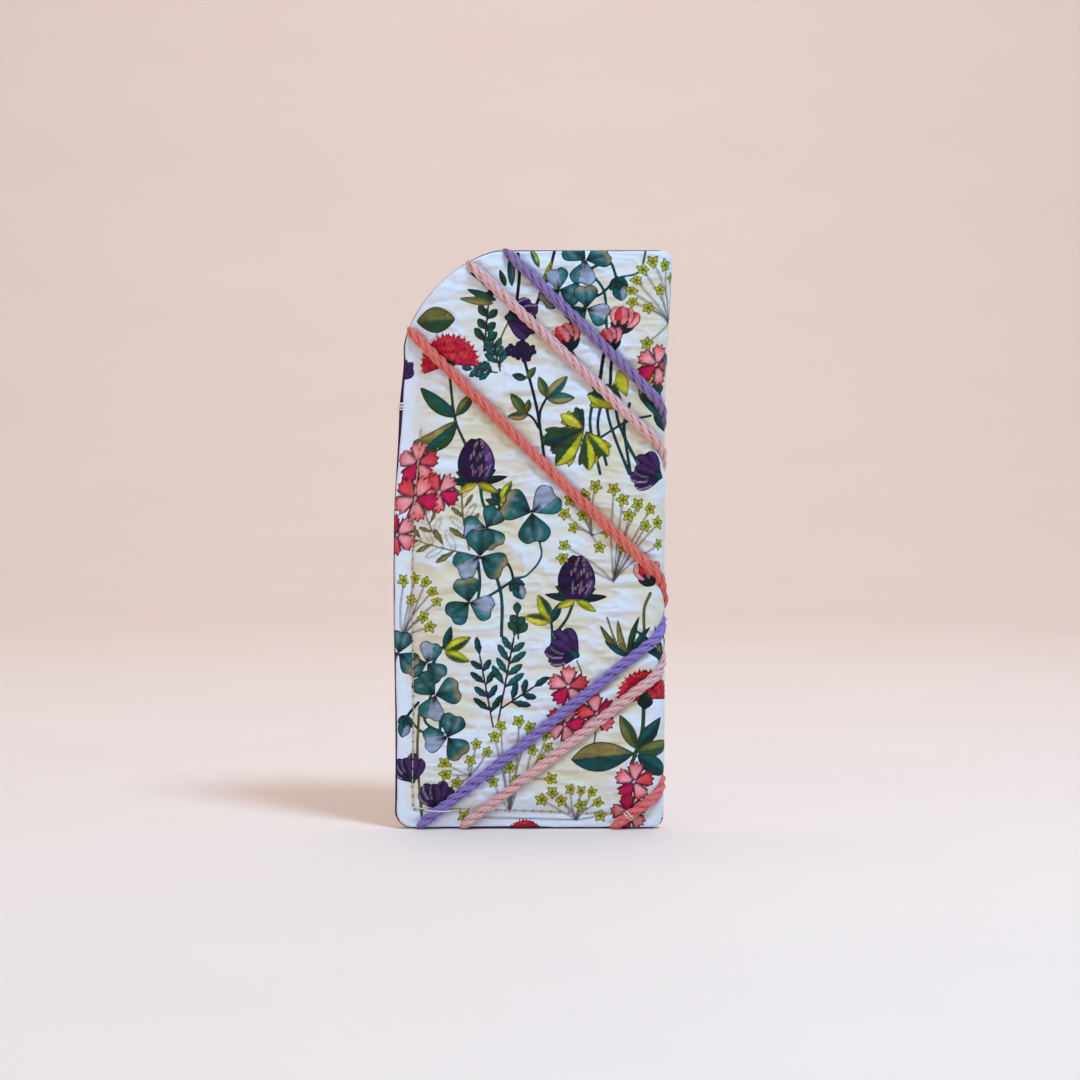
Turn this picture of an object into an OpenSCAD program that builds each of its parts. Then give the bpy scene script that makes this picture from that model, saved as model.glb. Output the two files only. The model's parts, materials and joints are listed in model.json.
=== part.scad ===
// Soft quilted glasses case. One printed cotton cover, one layer of batting and one plain lining are
// sewn together at their edges, turned, folded in half and stitched up one side and along the bottom.
// Six cotton cords cross the cover and run round the fold to the back. The mouth is the open corner
// opposite the fold: its two lips bend outwards along a slanting crease.
// +Z is up the case, -Y is the front, +X is the folded side, and the origin is the middle of the
// bottom edge.

/* [Case] */
// Width from the stitched side to the fold
case_w = 89; // [80:1:100]
// Height from the bottom edge to the mouth
case_h = 190; // [175:1:205]
// Thickness across both panels at the fold
case_t = 12; // [11:0.5:16]
// Height of the bar tack, where the side seam ends and the mouth begins
tack_z = 141; // [130:1:150]
// Width of the large rounded corner of the mouth
mouth_corner_w = 34; // [25:1:40]
// Height of the large rounded corner of the mouth
mouth_corner_h = 32; // [20:1:35]
// Radius of the corner where the mouth meets the fold
top_fold_corner = 2; // [2:0.5:4]
// Radius of the bottom corner at the fold
low_fold_corner = 2.5; // [2:0.5:4]
// Radius of the stitched bottom corner
stitched_corner = 6; // [3:0.5:8]

/* [Layers] */
// Thickness of the printed cover, which also wraps the edge of the batting
cover_t = 0.4; // [0.3:0.05:0.6]
// Thickness of the batting
batting_t = 2; // [1.8:0.1:2.6]
// Thickness of the lining
lining_t = 0.4; // [0.3:0.05:0.6]

/* [Seams] */
// Distance of the top stitching from the edges
seam = 6; // [5:0.5:8]
// Length of one stitch, with the needle hole after it
stitch_pitch = 3; // [2:0.5:4]
// Diameter of the sewing thread
thread_d = 0.4; // [0.3:0.05:0.5]

/* [Cords] */
// Diameter of a cord
cord_d = 3.2; // [2.6:0.1:3.6]

/* [Mouth] */
// Furthest that each lip bends outwards, in degrees
lip_travel = 45; // [20:5:45]

/* [Hidden] */

panel_t = cover_t + batting_t + lining_t;
left = -case_w / 2;
fold_r = case_t / 2;    // round the fold, which is also half the thickness of the padded part
fold_x = case_w / 2 - fold_r;
taper = 12.5;           // from the side seam to the full thickness
bottom_taper = 10;      // from the bottom seam to the full thickness
fold_steps = 16;
sheet = 0.01;           // a section this thick stands for a flat one inside a hull
far = 500;

// The crease that each lip bends along: from the bar tack to the top, just short of the fold
crease_end = fold_x - 0.5;
crease_angle = atan((case_h - tack_z) / (crease_end - left));
crease_gap = 0.4;       // room for the lip's own thickness at the crease
lip_gap = 0.15;         // from the middle plane to a lip that lies closed

cord_r = cord_d / 2;
cord_off = cord_r + 0.12;                   // from the cover to the middle of a cord that lies on it
cord_sides = 8;
cord_step = 3;
hump_reach = 6.5;                           // how far before a crossing a cord begins to rise
fold_u = fold_x - left;                     // distance round the cloth to the start of the fold
back_u = fold_u + fold_r * PI;              // and to its end
cord_reach = back_u + fold_u;               // and to the back's stitched edge
notch = lip_travel / 2 + 1;                 // a cord is cut back this much on each side of the crease

// Each cord's route on the flat cloth, as [distance round the cloth, height]: its front end, the
// middle of the fold and its back end
mid_fold_u = fold_u + fold_r * PI / 2;
upper_purple = [[37, 188], [mid_fold_u, 135], [cord_reach - 1, 52]];
upper_pink = [[26, 184], [mid_fold_u, 121.5], [cord_reach - 1, 40]];
upper_coral = [[5.5, 162], [mid_fold_u, 78.5], [cord_reach - 9, 2.5]];
lower_purple = [[9.5, 2.5], [mid_fold_u, 68], [cord_reach - 1, 133]];
lower_pink = [[24, 2.5], [mid_fold_u, 56], [cord_reach - 1, 117]];
lower_coral = [[73, 2.5], [mid_fold_u, 15.5], [cord_reach - 1, 82]];
upper_cords = [upper_purple, upper_pink, upper_coral];
lower_cords = [lower_purple, lower_pink, lower_coral];

// The top stitching, as [x, height]: in from the bar tack, down the side, round the corner, along
// the bottom to the fold
side_stitching = [
    [left + 3.2, tack_z - 1], [left + 7, tack_z - 10], [left + 6.3, 100], [left + 6.2, 42],
    [left + 5.7, 12], [left + 6.2, 7.2]
];
bottom_stitching = [[left + 7.5, 6.8], [-20, 6.6], [0, 6], [18, 5], [fold_x + 1.5, 5]];

// ---- Shape of the case ----

// Half the thickness of the case at a place on its front, out to the cover
function belly(x, z) =
    panel_t + (fold_r - panel_t)
    * max(0, min(1, (x - left - seam) / taper, (z - seam) / bottom_taper));

// Outline of the case seen from the front, with the large rounded corner at the mouth
module outline() {
    right = fold_x + fold_r;
    corner_fullness = 1.5;      // 2 is an ellipse, 1 a straight cut
    mouth_corner = [
        for (a = [0 : 6 : 90]) [
            left + mouth_corner_w * (1 - pow(sin(a), 2 / corner_fullness)),
            case_h - mouth_corner_h * (1 - pow(cos(a), 2 / corner_fullness))
        ]
    ];
    // the other three corners: [x, height, radius, angle at which the arc begins]
    small_corners = [
        [right - top_fold_corner, case_h - top_fold_corner, top_fold_corner, 90],
        [right - low_fold_corner, low_fold_corner, low_fold_corner, 0],
        [left + stitched_corner, stitched_corner, stitched_corner, -90]
    ];
    rounded = [
        for (c = small_corners)
            for (a = [0 : 15 : 90])
                [c[0] + c[2] * cos(c[3] - a), c[1] + c[2] * sin(c[3] - a)]
    ];
    polygon(concat(
        [for (i = [len(mouth_corner) - 1 : -1 : 0]) mouth_corner[i]],
        rounded
    ));
}

// Everything inside the outline, less a hem of the given width
module inside_outline(hem) {
    rotate([90, 0, 0])
        translate([0, 0, -far / 2])
            linear_extrude(far)
                offset(delta = -hem) outline();
}

// Section across the padded part of the case, the given depth under the cover's face. The panels
// are edge_half thick at the seam, belly thick from there on, and go round the fold.
function section(wall, edge_half, belly_here) = let (
    arc = [
        for (i = [0 : fold_steps])
            let (a = 180 * i / fold_steps)
                [fold_x + (fold_r - wall) * sin(a), -(belly_here - wall) * cos(a)]
    ]) concat(
        [[left + seam, edge_half], [left + seam, -edge_half], [left + seam + taper, wall - belly_here]],
        arc,
        [[left + seam + taper, belly_here - wall]]
    );

// The padded part: squeezed flat at the bottom seam, full above it
module padded_part(wall) {
    edge_half = max(panel_t - wall, sheet);
    hull() {
        translate([0, 0, seam])
            linear_extrude(sheet) polygon(section(wall, edge_half, edge_half + wall));
        translate([0, 0, seam + bottom_taper])
            linear_extrude(far) polygon(section(wall, edge_half, fold_r));
    }
}

// The padded part with the flat seam allowance beside and below it, the given depth under the
// cover's face
module case_down_to(wall) {
    flat_half = panel_t - wall;
    padded_part(wall);
    linear_extrude(seam + sheet) polygon(section(wall, flat_half, panel_t));
    translate([left, -flat_half, 0]) cube([fold_x - left, 2 * flat_half, case_h]);
}

module cover_layer() {
    difference() {
        intersection() {
            case_down_to(0);
            inside_outline(0);
        }
        intersection() {
            case_down_to(cover_t);
            inside_outline(cover_t);
        }
        case_down_to(cover_t + batting_t);
    }
}

module batting_layer() {
    difference() {
        intersection() {
            case_down_to(cover_t);
            inside_outline(cover_t);
        }
        case_down_to(cover_t + batting_t);
    }
}

module lining_layer() {
    difference() {
        intersection() {
            case_down_to(cover_t + batting_t);
            inside_outline(0);
        }
        padded_part(panel_t);
    }
}

// ---- Where the lips bend ----

// Places its children at the crease, with X along it and Z up into the lip
module at_crease(y = 0) {
    translate([left, y, tack_z]) rotate([0, -crease_angle, 0]) children();
}

// What lies under the crease, which stays still
module under_crease() {
    intersection() {
        children();
        at_crease() translate([-far / 2, -far / 2, -far]) cube(far);
    }
}

// What lies over the crease on one side of the middle plane: -1 is the front lip, 1 the back one
module over_crease(side) {
    intersection() {
        children();
        at_crease() translate([-far / 2, -far / 2, crease_gap]) cube(far);
        translate([-far / 2, side > 0 ? lip_gap : -far - lip_gap, -far / 2]) cube(far);
    }
}

module pouch_cover() { color("#f0ebe0") under_crease() cover_layer(); }
module pouch_batting() { color("#fbfaf5") under_crease() batting_layer(); }
module pouch_lining() { color("#3b1750") under_crease() lining_layer(); }
module lip_cover(side) { color("#f0ebe0") over_crease(side) cover_layer(); }
module lip_batting(side) { color("#fbfaf5") over_crease(side) batting_layer(); }
module lip_lining(side) { color("#3b1750") over_crease(side) lining_layer(); }

// ---- Cords ----

// The point at a distance round the cloth and a height, the given distance off the cover
function on_cover(u, z, off) =
    u <= fold_u ? [left + u, -belly(left + u, z) - off, z]
    : u >= back_u ? [left + cord_reach - u, belly(left + cord_reach - u, z) + off, z]
    : let (a = (u - fold_u) / fold_r * 180 / PI)
        [fold_x + (fold_r + off) * sin(a), -(belly(fold_x, z) + off) * cos(a), z];

function slope(a, b) = (b[1] - a[1]) / (b[0] - a[0]);

function height_on(cord, u) = cord[1][1]
    + (u - mid_fold_u) * (u < mid_fold_u ? slope(cord[0], cord[1]) : slope(cord[1], cord[2]));

// Where two cords cross on the back, as a distance round the cloth
function crossing(a, b) =
    mid_fold_u + (b[1][1] - a[1][1]) / (slope(a[1], a[2]) - slope(b[1], b[2]));

// A cord rises over each cord that it crosses
function lift(cord, under, u) = max([
    0,
    for (b = under)
        let (t = (u - crossing(cord, b)) / hump_reach)
            abs(t) < 1 ? (cord_d + 0.15) * (1 + cos(180 * t)) / 2 : 0
]);

function unit(v) = v / norm(v);

// A round cord along the cover, passing over the cords listed as under it
module cord_on_cover(cord, under) {
    steps = ceil((cord[2][0] - cord[0][0]) / cord_step);
    us = [for (i = [0 : steps]) cord[0][0] + (cord[2][0] - cord[0][0]) * i / steps];
    middle = [for (u = us) on_cover(u, height_on(cord, u), cord_off + lift(cord, under, u))];
    outward = [for (u = us) unit(on_cover(u, height_on(cord, u), 1) - on_cover(u, height_on(cord, u), 0))];
    rings = [
        for (i = [0 : steps])
            let (
                along = unit(middle[min(i + 1, steps)] - middle[max(i - 1, 0)]),
                across = unit(cross(along, outward[i])),
                up = cross(across, along)
            )
                for (k = [0 : cord_sides - 1])
                    let (a = 360 * k / cord_sides)
                        middle[i] + cord_r * (cos(a) * up + sin(a) * across)
    ];
    sides = [
        for (i = [0 : steps - 1])
            for (k = [0 : cord_sides - 1])
                let (next = (k + 1) % cord_sides)
                    [i * cord_sides + k, i * cord_sides + next,
                     (i + 1) * cord_sides + next, (i + 1) * cord_sides + k]
    ];
    ends = [
        [for (k = [cord_sides - 1 : -1 : 0]) k],
        [for (k = [0 : cord_sides - 1]) steps * cord_sides + k]
    ];
    polyhedron(rings, concat(sides, ends), convexity = 6);
}

// The part of an upper cord that stays still, and the end of it that moves with the front lip. Both
// are cut back at the crease, where the real cord bends.
module still_part() {
    intersection() {
        children();
        at_crease(-fold_r) rotate([notch, 0, 0]) translate([-far / 2, -far / 2, -far - crease_gap / 2]) cube(far);
    }
}

module moving_part() {
    intersection() {
        children();
        at_crease(-fold_r) rotate([-notch, 0, 0]) translate([-far / 2, -far / 2, crease_gap]) cube(far);
    }
}

module upper_cord(cord, tint) { color(tint) still_part() cord_on_cover(cord, lower_cords); }
module upper_cord_end(cord, tint) { color(tint) moving_part() cord_on_cover(cord, []); }
module lower_cord(cord, tint) { color(tint) cord_on_cover(cord, []); }

// ---- Thread ----

thread_gap = 0.03;      // from the cover to a thread that lies on it

// A straight length of thread between two points
module thread(a, b) {
    way = b - a;
    translate(a)
        rotate([0, acos(way[2] / norm(way)), atan2(way[1], way[0])])
            cylinder(h = norm(way), d = thread_d, $fn = 16);
}

function run(path, n = 0) = n >= len(path) - 1 ? 0 : norm(path[n + 1] - path[n]) + run(path, n + 1);

// The point a distance along a path
function along_path(path, s, n = 0) =
    let (here = norm(path[n + 1] - path[n]))
        s <= here || n == len(path) - 2
            ? path[n] + (path[n + 1] - path[n]) * min(1, s / here)
            : along_path(path, s - here, n + 1);

// How far a point of the cloth is from the nearest cord
function to_cord(u, z) = min([
    for (c = concat(upper_cords, lower_cords))
        for (leg = [0, 1])
            let (way = c[leg + 1] - c[leg], t = max(0, min(1, ([u, z] - c[leg]) * way / (way * way))))
                norm([u, z] - c[leg] - t * way)
]);

// A row of lock stitches on the front and on the back, left out where a cord and its tacks lie
module stitches(path) {
    off = thread_d / 2 + thread_gap;
    room = cord_r + 2 * thread_d + 0.3;
    for (i = [0 : floor(run(path) / stitch_pitch) - 1]) {
        a = along_path(path, stitch_pitch * (i + 0.1));
        b = along_path(path, stitch_pitch * (i + 0.9));
        for (back = [false, true]) {
            ua = back ? cord_reach - (a[0] - left) : a[0] - left;
            ub = back ? cord_reach - (b[0] - left) : b[0] - left;
            if (min(to_cord(ua, a[1]), to_cord((ua + ub) / 2, (a[1] + b[1]) / 2), to_cord(ub, b[1])) > room)
                thread(on_cover(ua, a[1], off), on_cover(ub, b[1], off));
        }
    }
}

module side_seam_thread() { color("#d9c9a4") stitches(side_stitching); }
module bottom_seam_thread() { color("#d9c9a4") stitches(bottom_stitching); }

// One loop of thread over a cord and down through the cover on both sides of it
module tack_over(cord, u) {
    loop_r = cord_r + thread_d / 2 + 0.08;
    leg = cord_off + 0.9;       // through the cover and into the batting
    p = on_cover(u, height_on(cord, u), cord_off);
    way = unit(
        on_cover(u + 1, height_on(cord, u + 1), cord_off)
        - on_cover(u - 1, height_on(cord, u - 1), cord_off)
    );
    translate(p)
        rotate([0, acos(way[2]), atan2(way[1], way[0])]) {
            rotate(180)
                rotate_extrude(angle = 180, $fn = 48)
                    translate([loop_r, 0]) circle(d = thread_d, $fn = 16);
            for (side = [-1, 1])
                translate([side * loop_r, 0, 0])
                    rotate([-90, 0, 0]) cylinder(h = leg, d = thread_d, $fn = 16);
        }
}

// Two of the lower cords are caught near their front ends, and every cord near its back end
module cord_tacks() {
    from_end = 6;
    color("#f4efe4") {
        for (c = [lower_purple, lower_coral]) tack_over(c, c[0][0] + from_end);
        for (c = concat(upper_cords, lower_cords)) tack_over(c, c[2][0] - from_end);
    }
}

// Loops of thread round the stitched edge, at the top of the side seam
module bar_tack() {
    loops = 5;
    spacing = 0.55;
    below_mouth = 1;
    reach = 3;
    off = panel_t + thread_d / 2 + thread_gap;
    edge = left - thread_d / 2 - thread_gap;
    color("#f4efe4")
        for (i = [0 : loops - 1])
            translate([0, 0, tack_z - below_mouth - spacing * i]) {
                for (side = [-1, 1]) thread([edge, side * off, 0], [edge + reach, side * off, 0]);
                thread([edge, -off - thread_d / 2, 0], [edge, off + thread_d / 2, 0]);
            }
}

pouch_cover();
pouch_batting();
pouch_lining();
lip_cover(-1);  // front_lip_cover
lip_batting(-1);  // front_lip_batting
lip_lining(-1);  // front_lip_lining
lip_cover(1);  // back_lip_cover
lip_batting(1);  // back_lip_batting
lip_lining(1);  // back_lip_lining
upper_cord(upper_purple, "#8b6fd0");  // upper_purple_cord
upper_cord(upper_pink, "#f3abb0");  // upper_pink_cord
upper_cord(upper_coral, "#f26a5e");  // upper_coral_cord
upper_cord_end(upper_purple, "#8b6fd0");  // upper_purple_cord_end
upper_cord_end(upper_pink, "#f3abb0");  // upper_pink_cord_end
upper_cord_end(upper_coral, "#f26a5e");  // upper_coral_cord_end
lower_cord(lower_purple, "#8b6fd0");  // lower_purple_cord
lower_cord(lower_pink, "#f3abb0");  // lower_pink_cord
lower_cord(lower_coral, "#f26a5e");  // lower_coral_cord
side_seam_thread();
bottom_seam_thread();
cord_tacks();
bar_tack();
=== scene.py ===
import json
import math
from functools import partial

import bpy
import numpy as np
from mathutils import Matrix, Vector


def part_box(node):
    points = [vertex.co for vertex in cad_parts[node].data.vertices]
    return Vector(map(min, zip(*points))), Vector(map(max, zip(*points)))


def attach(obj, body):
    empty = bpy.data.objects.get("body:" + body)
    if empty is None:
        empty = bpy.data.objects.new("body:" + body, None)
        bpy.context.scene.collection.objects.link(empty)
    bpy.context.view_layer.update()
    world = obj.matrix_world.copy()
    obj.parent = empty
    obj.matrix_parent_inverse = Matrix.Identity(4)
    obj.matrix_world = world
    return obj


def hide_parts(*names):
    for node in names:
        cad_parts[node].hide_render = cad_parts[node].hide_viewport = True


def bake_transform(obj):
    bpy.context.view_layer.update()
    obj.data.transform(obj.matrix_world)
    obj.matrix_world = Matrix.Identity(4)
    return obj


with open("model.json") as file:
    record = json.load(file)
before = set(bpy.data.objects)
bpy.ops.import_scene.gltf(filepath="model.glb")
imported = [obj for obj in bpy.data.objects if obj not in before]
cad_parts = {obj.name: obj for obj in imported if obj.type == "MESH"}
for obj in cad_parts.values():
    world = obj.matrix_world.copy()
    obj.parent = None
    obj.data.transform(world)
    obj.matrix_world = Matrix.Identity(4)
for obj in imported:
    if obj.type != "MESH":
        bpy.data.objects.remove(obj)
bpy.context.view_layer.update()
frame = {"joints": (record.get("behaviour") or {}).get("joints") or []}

# ---------------------------------------------------------------------------------------------
# Camera. It stands level in front of the case, a little to one side of its middle, with a long
# lens, so that the front shows square on.
# ---------------------------------------------------------------------------------------------
view_height = 0.3555
lens_mm = 85
sensor_mm = 36
aim = (0.0035, 0.0, 0.0952)
raised = math.radians(2)

camera_data = bpy.data.cameras.new("front_camera")
camera_data.lens = lens_mm
camera_data.sensor_width = sensor_mm
camera = bpy.data.objects.new("front_camera", camera_data)
put_in_scene = bpy.context.scene.collection.objects.link
put_in_scene(camera)
bpy.context.scene.camera = camera
reach = view_height * lens_mm / sensor_mm
camera.location = (aim[0], aim[1] - reach * math.cos(raised), aim[2] + reach * math.sin(raised))
camera.rotation_euler = (math.pi / 2 - raised, 0, 0)

# ---------------------------------------------------------------------------------------------
# Printed cover. One piece of quilting cotton, folded at the right, lies over the batting and is
# turned under at its edges. The cords and the stitching pull it down, and between them it puckers.
# It is made flat, in millimetres: u is the distance round the cloth from the stitched edge of the
# front, over the fold to the stitched edge of the back, and z is the height.
# ---------------------------------------------------------------------------------------------
MM = 0.001
low, high = (np.array(corner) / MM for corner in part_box("pouch_cover"))
left, right, top = low[0], high[0], high[2]
fold_r = high[1]
fold_x = right - fold_r
fold_u = fold_x - left
mid_u = fold_u + fold_r * math.pi / 2
cloth_w = 2 * mid_u

front_bend = frame["joints"][0]                         # the back lip bends on the same crease
crease = np.array(front_bend["pos_m"]) / MM             # where the mouth meets the side seam

panel_t = 2.4            # from the face of the cover to the lining
seam_half = 2.5          # half the thickness at the sewn edges
seam_in = 6              # from the edges to the top stitching
mouth_corner = (34, 32)  # the large rounded corner of the mouth
mouth_fullness = 1.5
fold_top_r, fold_low_r, stitched_r = 2, 2.5, 6

side_line = [(7.6, 131), (6.4, 100), (6.2, 42), (5.8, 14), (6.2, 7)]
bottom_line = [(6.4, 6.4), (24, 6.6), (44, 6), (62, 5.2), (84, 5)]

# each cord's route on the cloth: its front end, the middle of the fold and its back end
cord_routes = {
    "upper_purple_cord": [(35.3, 190.2), (mid_u, 135.2), (cloth_w - 0.4, 52)],
    "upper_pink_cord": [(23.2, 186.2), (mid_u, 121.6), (cloth_w - 0.4, 40)],
    "upper_coral_cord": [(2, 164.8), (mid_u, 78.6), (cloth_w - 9, 1)],
    "lower_purple_cord": [(7.4, 0.6), (mid_u, 68.2), (cloth_w - 0.4, 133)],
    "lower_pink_cord": [(21.6, 0.4), (mid_u, 56), (cloth_w - 0.4, 117)],
    "lower_coral_cord": [(71.4, 0.2), (mid_u, 15.6), (cloth_w - 0.4, 82)],
}
cord_r = 1.6


def smooth(t):
    t = np.clip(t, 0, 1)
    return t * t * (3 - 2 * t)


def unit(way):
    return way / np.maximum(np.linalg.norm(way, axis=-1, keepdims=True), 1e-9)


def patches(u, z, wide, tall, seed):
    """Smooth random values from -1 to 1, in patches of the given size."""
    lattice = np.random.default_rng(seed).uniform(-1, 1, (128, 128))
    a, b = u / wide + 20, z / tall + 20
    i, j = np.floor(a).astype(int), np.floor(b).astype(int)
    s, t = smooth(a - i), smooth(b - j)
    i, j = i % 128, j % 128
    k, m = (i + 1) % 128, (j + 1) % 128
    low_row = lattice[i, j] * (1 - s) + lattice[k, j] * s
    high_row = lattice[i, m] * (1 - s) + lattice[k, m] * s
    return low_row * (1 - t) + high_row * t


def to_line(u, z, line):
    """Distance of places on the flat cloth from a line of points."""
    nearest = np.full(np.shape(u), 1e3)
    for (u0, z0), (u1, z1) in zip(line[:-1], line[1:]):
        du, dz = u1 - u0, z1 - z0
        t = np.clip(((u - u0) * du + (z - z0) * dz) / (du * du + dz * dz), 0, 1)
        nearest = np.minimum(nearest, np.hypot(u - u0 - t * du, z - z0 - t * dz))
    return nearest


def cord_height(route, u):
    return np.interp(u, [p[0] for p in route], [p[1] for p in route])


def side_x(u):
    """Place across the case of a point of the cloth, as far as the start of the fold."""
    return left + np.minimum(np.minimum(u, cloth_w - u), fold_u)


def round_fold(u):
    """0 on both sides of the case and 1 at the middle of the fold."""
    return np.sin(np.clip((u - fold_u) / fold_r, 0, math.pi))


def corner_cut(into, radius):
    """How much a corner of the given radius takes off, so far into it."""
    into = np.clip(into, 0, radius)
    return radius - np.sqrt(radius**2 - into**2)


def mouth_edge(u):
    across = np.clip(np.minimum(u, cloth_w - u) / mouth_corner[0], 0, 1)
    rise = (1 - (1 - across) ** mouth_fullness) ** (1 / mouth_fullness)
    at_fold = corner_cut(round_fold(u) * fold_r - (fold_r - fold_top_r), fold_top_r)
    return top - mouth_corner[1] * (1 - rise) - at_fold


def bottom_edge(u):
    at_fold = corner_cut(round_fold(u) * fold_r - (fold_r - fold_low_r), fold_low_r)
    return corner_cut(stitched_r - np.minimum(u, cloth_w - u), stitched_r) + at_fold


def from_edge(u, z):
    """Distance from the cut outline, inwards."""
    step = 0.05
    slope_top = (mouth_edge(u + step) - mouth_edge(u - step)) / (2 * step)
    slope_low = (bottom_edge(u + step) - bottom_edge(u - step)) / (2 * step)
    return np.minimum.reduce([
        u, cloth_w - u,
        (mouth_edge(u) - z) / np.hypot(1, slope_top),
        (z - bottom_edge(u)) / np.hypot(1, slope_low),
    ])


def half_depth(x, z):
    """Half the thickness of the stuffed case."""
    past_side, past_low = x - left - seam_in, z - seam_in
    beside = 1 - np.exp(-(past_side + np.sqrt(past_side**2 + 3)) / 10)
    above = 1 - np.exp(-(past_low + np.sqrt(past_low**2 + 3)) / 11)
    return seam_half + (fold_r - seam_half) * beside * above


def on_cloth(u, z, out):
    """Where a point of the cloth lies, the given distance off its stretched face."""
    u, z, out = np.broadcast_arrays(np.asarray(u, float), z, out)
    turn = np.clip((u - fold_u) / fold_r, 0, math.pi)
    x = side_x(u)
    depth = half_depth(x, z)
    x = x + (fold_r + out) * np.sin(turn)
    y = -(depth + out) * np.cos(turn)
    to_fold = (x - left) / (right - left)
    narrowing = 1.5 * smooth((z - 100) / 42) + 0.25 * np.sin(z / 17)
    lean = 1.7 * smooth((z - 136) / 20) * np.exp(-(x - left) / 9)
    flare = 2.2 * smooth((z - 138) / 50) - 0.3 * smooth((40 - z) / 40)
    return np.stack([x + narrowing * (1 - to_fold) + lean + flare * to_fold**4, y, z], -1)


def puckers(u, z):
    """The soft level folds of the cover between the cords, about a millimetre deep."""
    wander = 4 * patches(u, z, 27, 21, 1)
    ridge = patches(u + wander, z + 0.7 * wander, 15, 4.4, 2)
    crumple = patches(u - wander, z + wander, 7.5, 2.8, 3)
    fine = patches(u, z, 2.8, 1.5, 4)
    creased = 1 - np.abs(patches(u + 1.5 * wander, z - 0.6 * wander, 8, 2.4, 8))
    return 0.9 * np.abs(ridge) ** 0.8 + 0.45 * crumple + 0.65 * creased**4 + 0.16 * fine - 0.45


def tight_on_fold(u):
    """How much deeper the cords sink where they are pulled round the fold."""
    return 1.9 * round_fold(u) ** 1.5


def cloth_rise(u, z):
    """How far the cover stands off its stretched face: puckers, and grooves under what is sewn on."""
    inside = smooth((side_x(u) - left - 4) / 9) * smooth((z - 3) / 9)
    over_fold = 1 - 0.75 * round_fold(u)
    rise = puckers(u, z) * (0.18 + 0.82 * inside) * over_fold
    to_cord = np.full(np.shape(u), 1e3)
    for route in cord_routes.values():
        to_cord = np.minimum(to_cord, to_line(u, z, route))
    rise = rise * (1 - 0.75 * np.exp(-(to_cord / 3.2) ** 2))
    rise += 0.25 * np.exp(-((to_cord - 5.5) / 2.6) ** 2) * over_fold
    rise -= (0.75 + tight_on_fold(u)) * np.exp(-(to_cord / 2.1) ** 2)
    front_u = np.minimum(u, cloth_w - u)
    for line, pull in ((side_line, 0.6), (bottom_line, 0.6)):
        away = to_line(front_u, z, line)
        gather = patches(u, z, 2.6, 3.4, 5) if line is side_line else patches(u, z, 3.2, 30, 6)
        rise += 0.28 * gather * np.exp(-(away / 3.4) ** 2) - pull * np.exp(-(away / 1.15) ** 2)
    return rise


def rim_of_lining(u, z):
    """How far the lining shows beyond the cover at the edges."""
    wave = 0.16 * patches(u, z, 6, 6, 7)
    at_side = 0.75 * np.exp(-(((z - 138) / 14) ** 2)) + 0.2 * smooth((60 - z) / 40)
    return 0.42 + wave + at_side


def ends_under(size, count):
    """Which of a row of places are among its first few or its last few."""
    place = np.arange(size)
    return (place < count) | (place >= size - count)


def cloth_grid(spacing, turned):
    """Flat places of a cloth with turned edges, as u, z and whether each is on the turned side."""
    under = [turned, 0.7 * turned, 0.4 * turned, 0.2, 0.05]
    steps = under + [0.05, 0.2, 0.45, 0.8, 1.2]
    margin = steps[-1]
    inner_u = np.linspace(margin, mid_u, round((mid_u - margin) / spacing) + 1)[1:]
    half_u = np.concatenate([steps, inner_u])
    u = np.concatenate([half_u, (cloth_w - half_u[:-1])[::-1]])
    z_low, z_high = bottom_edge(u), mouth_edge(u)
    share = np.linspace(0, 1, round((top - 2 * margin) / spacing) + 1)[1:-1]
    rows = [z_low + step for step in steps]
    rows += [z_low + margin + (z_high - z_low - 2 * margin) * part for part in share]
    rows += [z_high - step for step in reversed(steps)]
    z = np.stack(rows, 1)
    turned_side = ends_under(u.size, len(under))[:, None] | ends_under(len(rows), len(under))
    return np.repeat(u[:, None], len(rows), 1), z, turned_side


def grid_normals(points):
    along_u, along_z = np.gradient(points, axis=0), np.gradient(points, axis=1)
    return unit(np.cross(along_u, along_z))


def mesh_piece(name, points, faces, *materials):
    """A smooth mesh, from places in millimetres."""
    mesh = bpy.data.meshes.new(name)
    mesh.from_pydata((points * MM).tolist(), [], faces)
    mesh.polygons.foreach_set("use_smooth", np.ones(len(faces), bool))
    for material in materials:
        mesh.materials.append(material)
    piece = bpy.data.objects.new(name, mesh)
    put_in_scene(piece)
    return piece


def grid_quads(columns, rows):
    index = np.arange(columns * rows).reshape(columns, rows)
    quads = [index[:-1, :-1], index[1:, :-1], index[1:, 1:], index[:-1, 1:]]
    return index, np.stack(quads, -1).reshape(-1, 4)


def cloth_piece(name, points, normals, first, last, material, flip=False):
    """A mesh from some of the columns of a grid, with the whole grid's normals."""
    quads = grid_quads(last - first + 1, points.shape[1])[1]
    part = points[first:last + 1].reshape(-1, 3)
    piece = mesh_piece(name, part, quads[:, ::-1 if flip else 1].tolist(), material)
    turned = normals[first:last + 1].reshape(-1, 3) * (-1 if flip else 1)
    piece.data.normals_split_custom_set_from_vertices(turned.tolist())
    return piece


def add_values(piece, name, kind, values):
    field = {"FLOAT": "value", "FLOAT_VECTOR": "vector", "FLOAT_COLOR": "color"}[kind]
    layer = piece.data.attributes.new(name, kind, "POINT")
    layer.data.foreach_set(field, np.asarray(values, np.float32).ravel())


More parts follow.
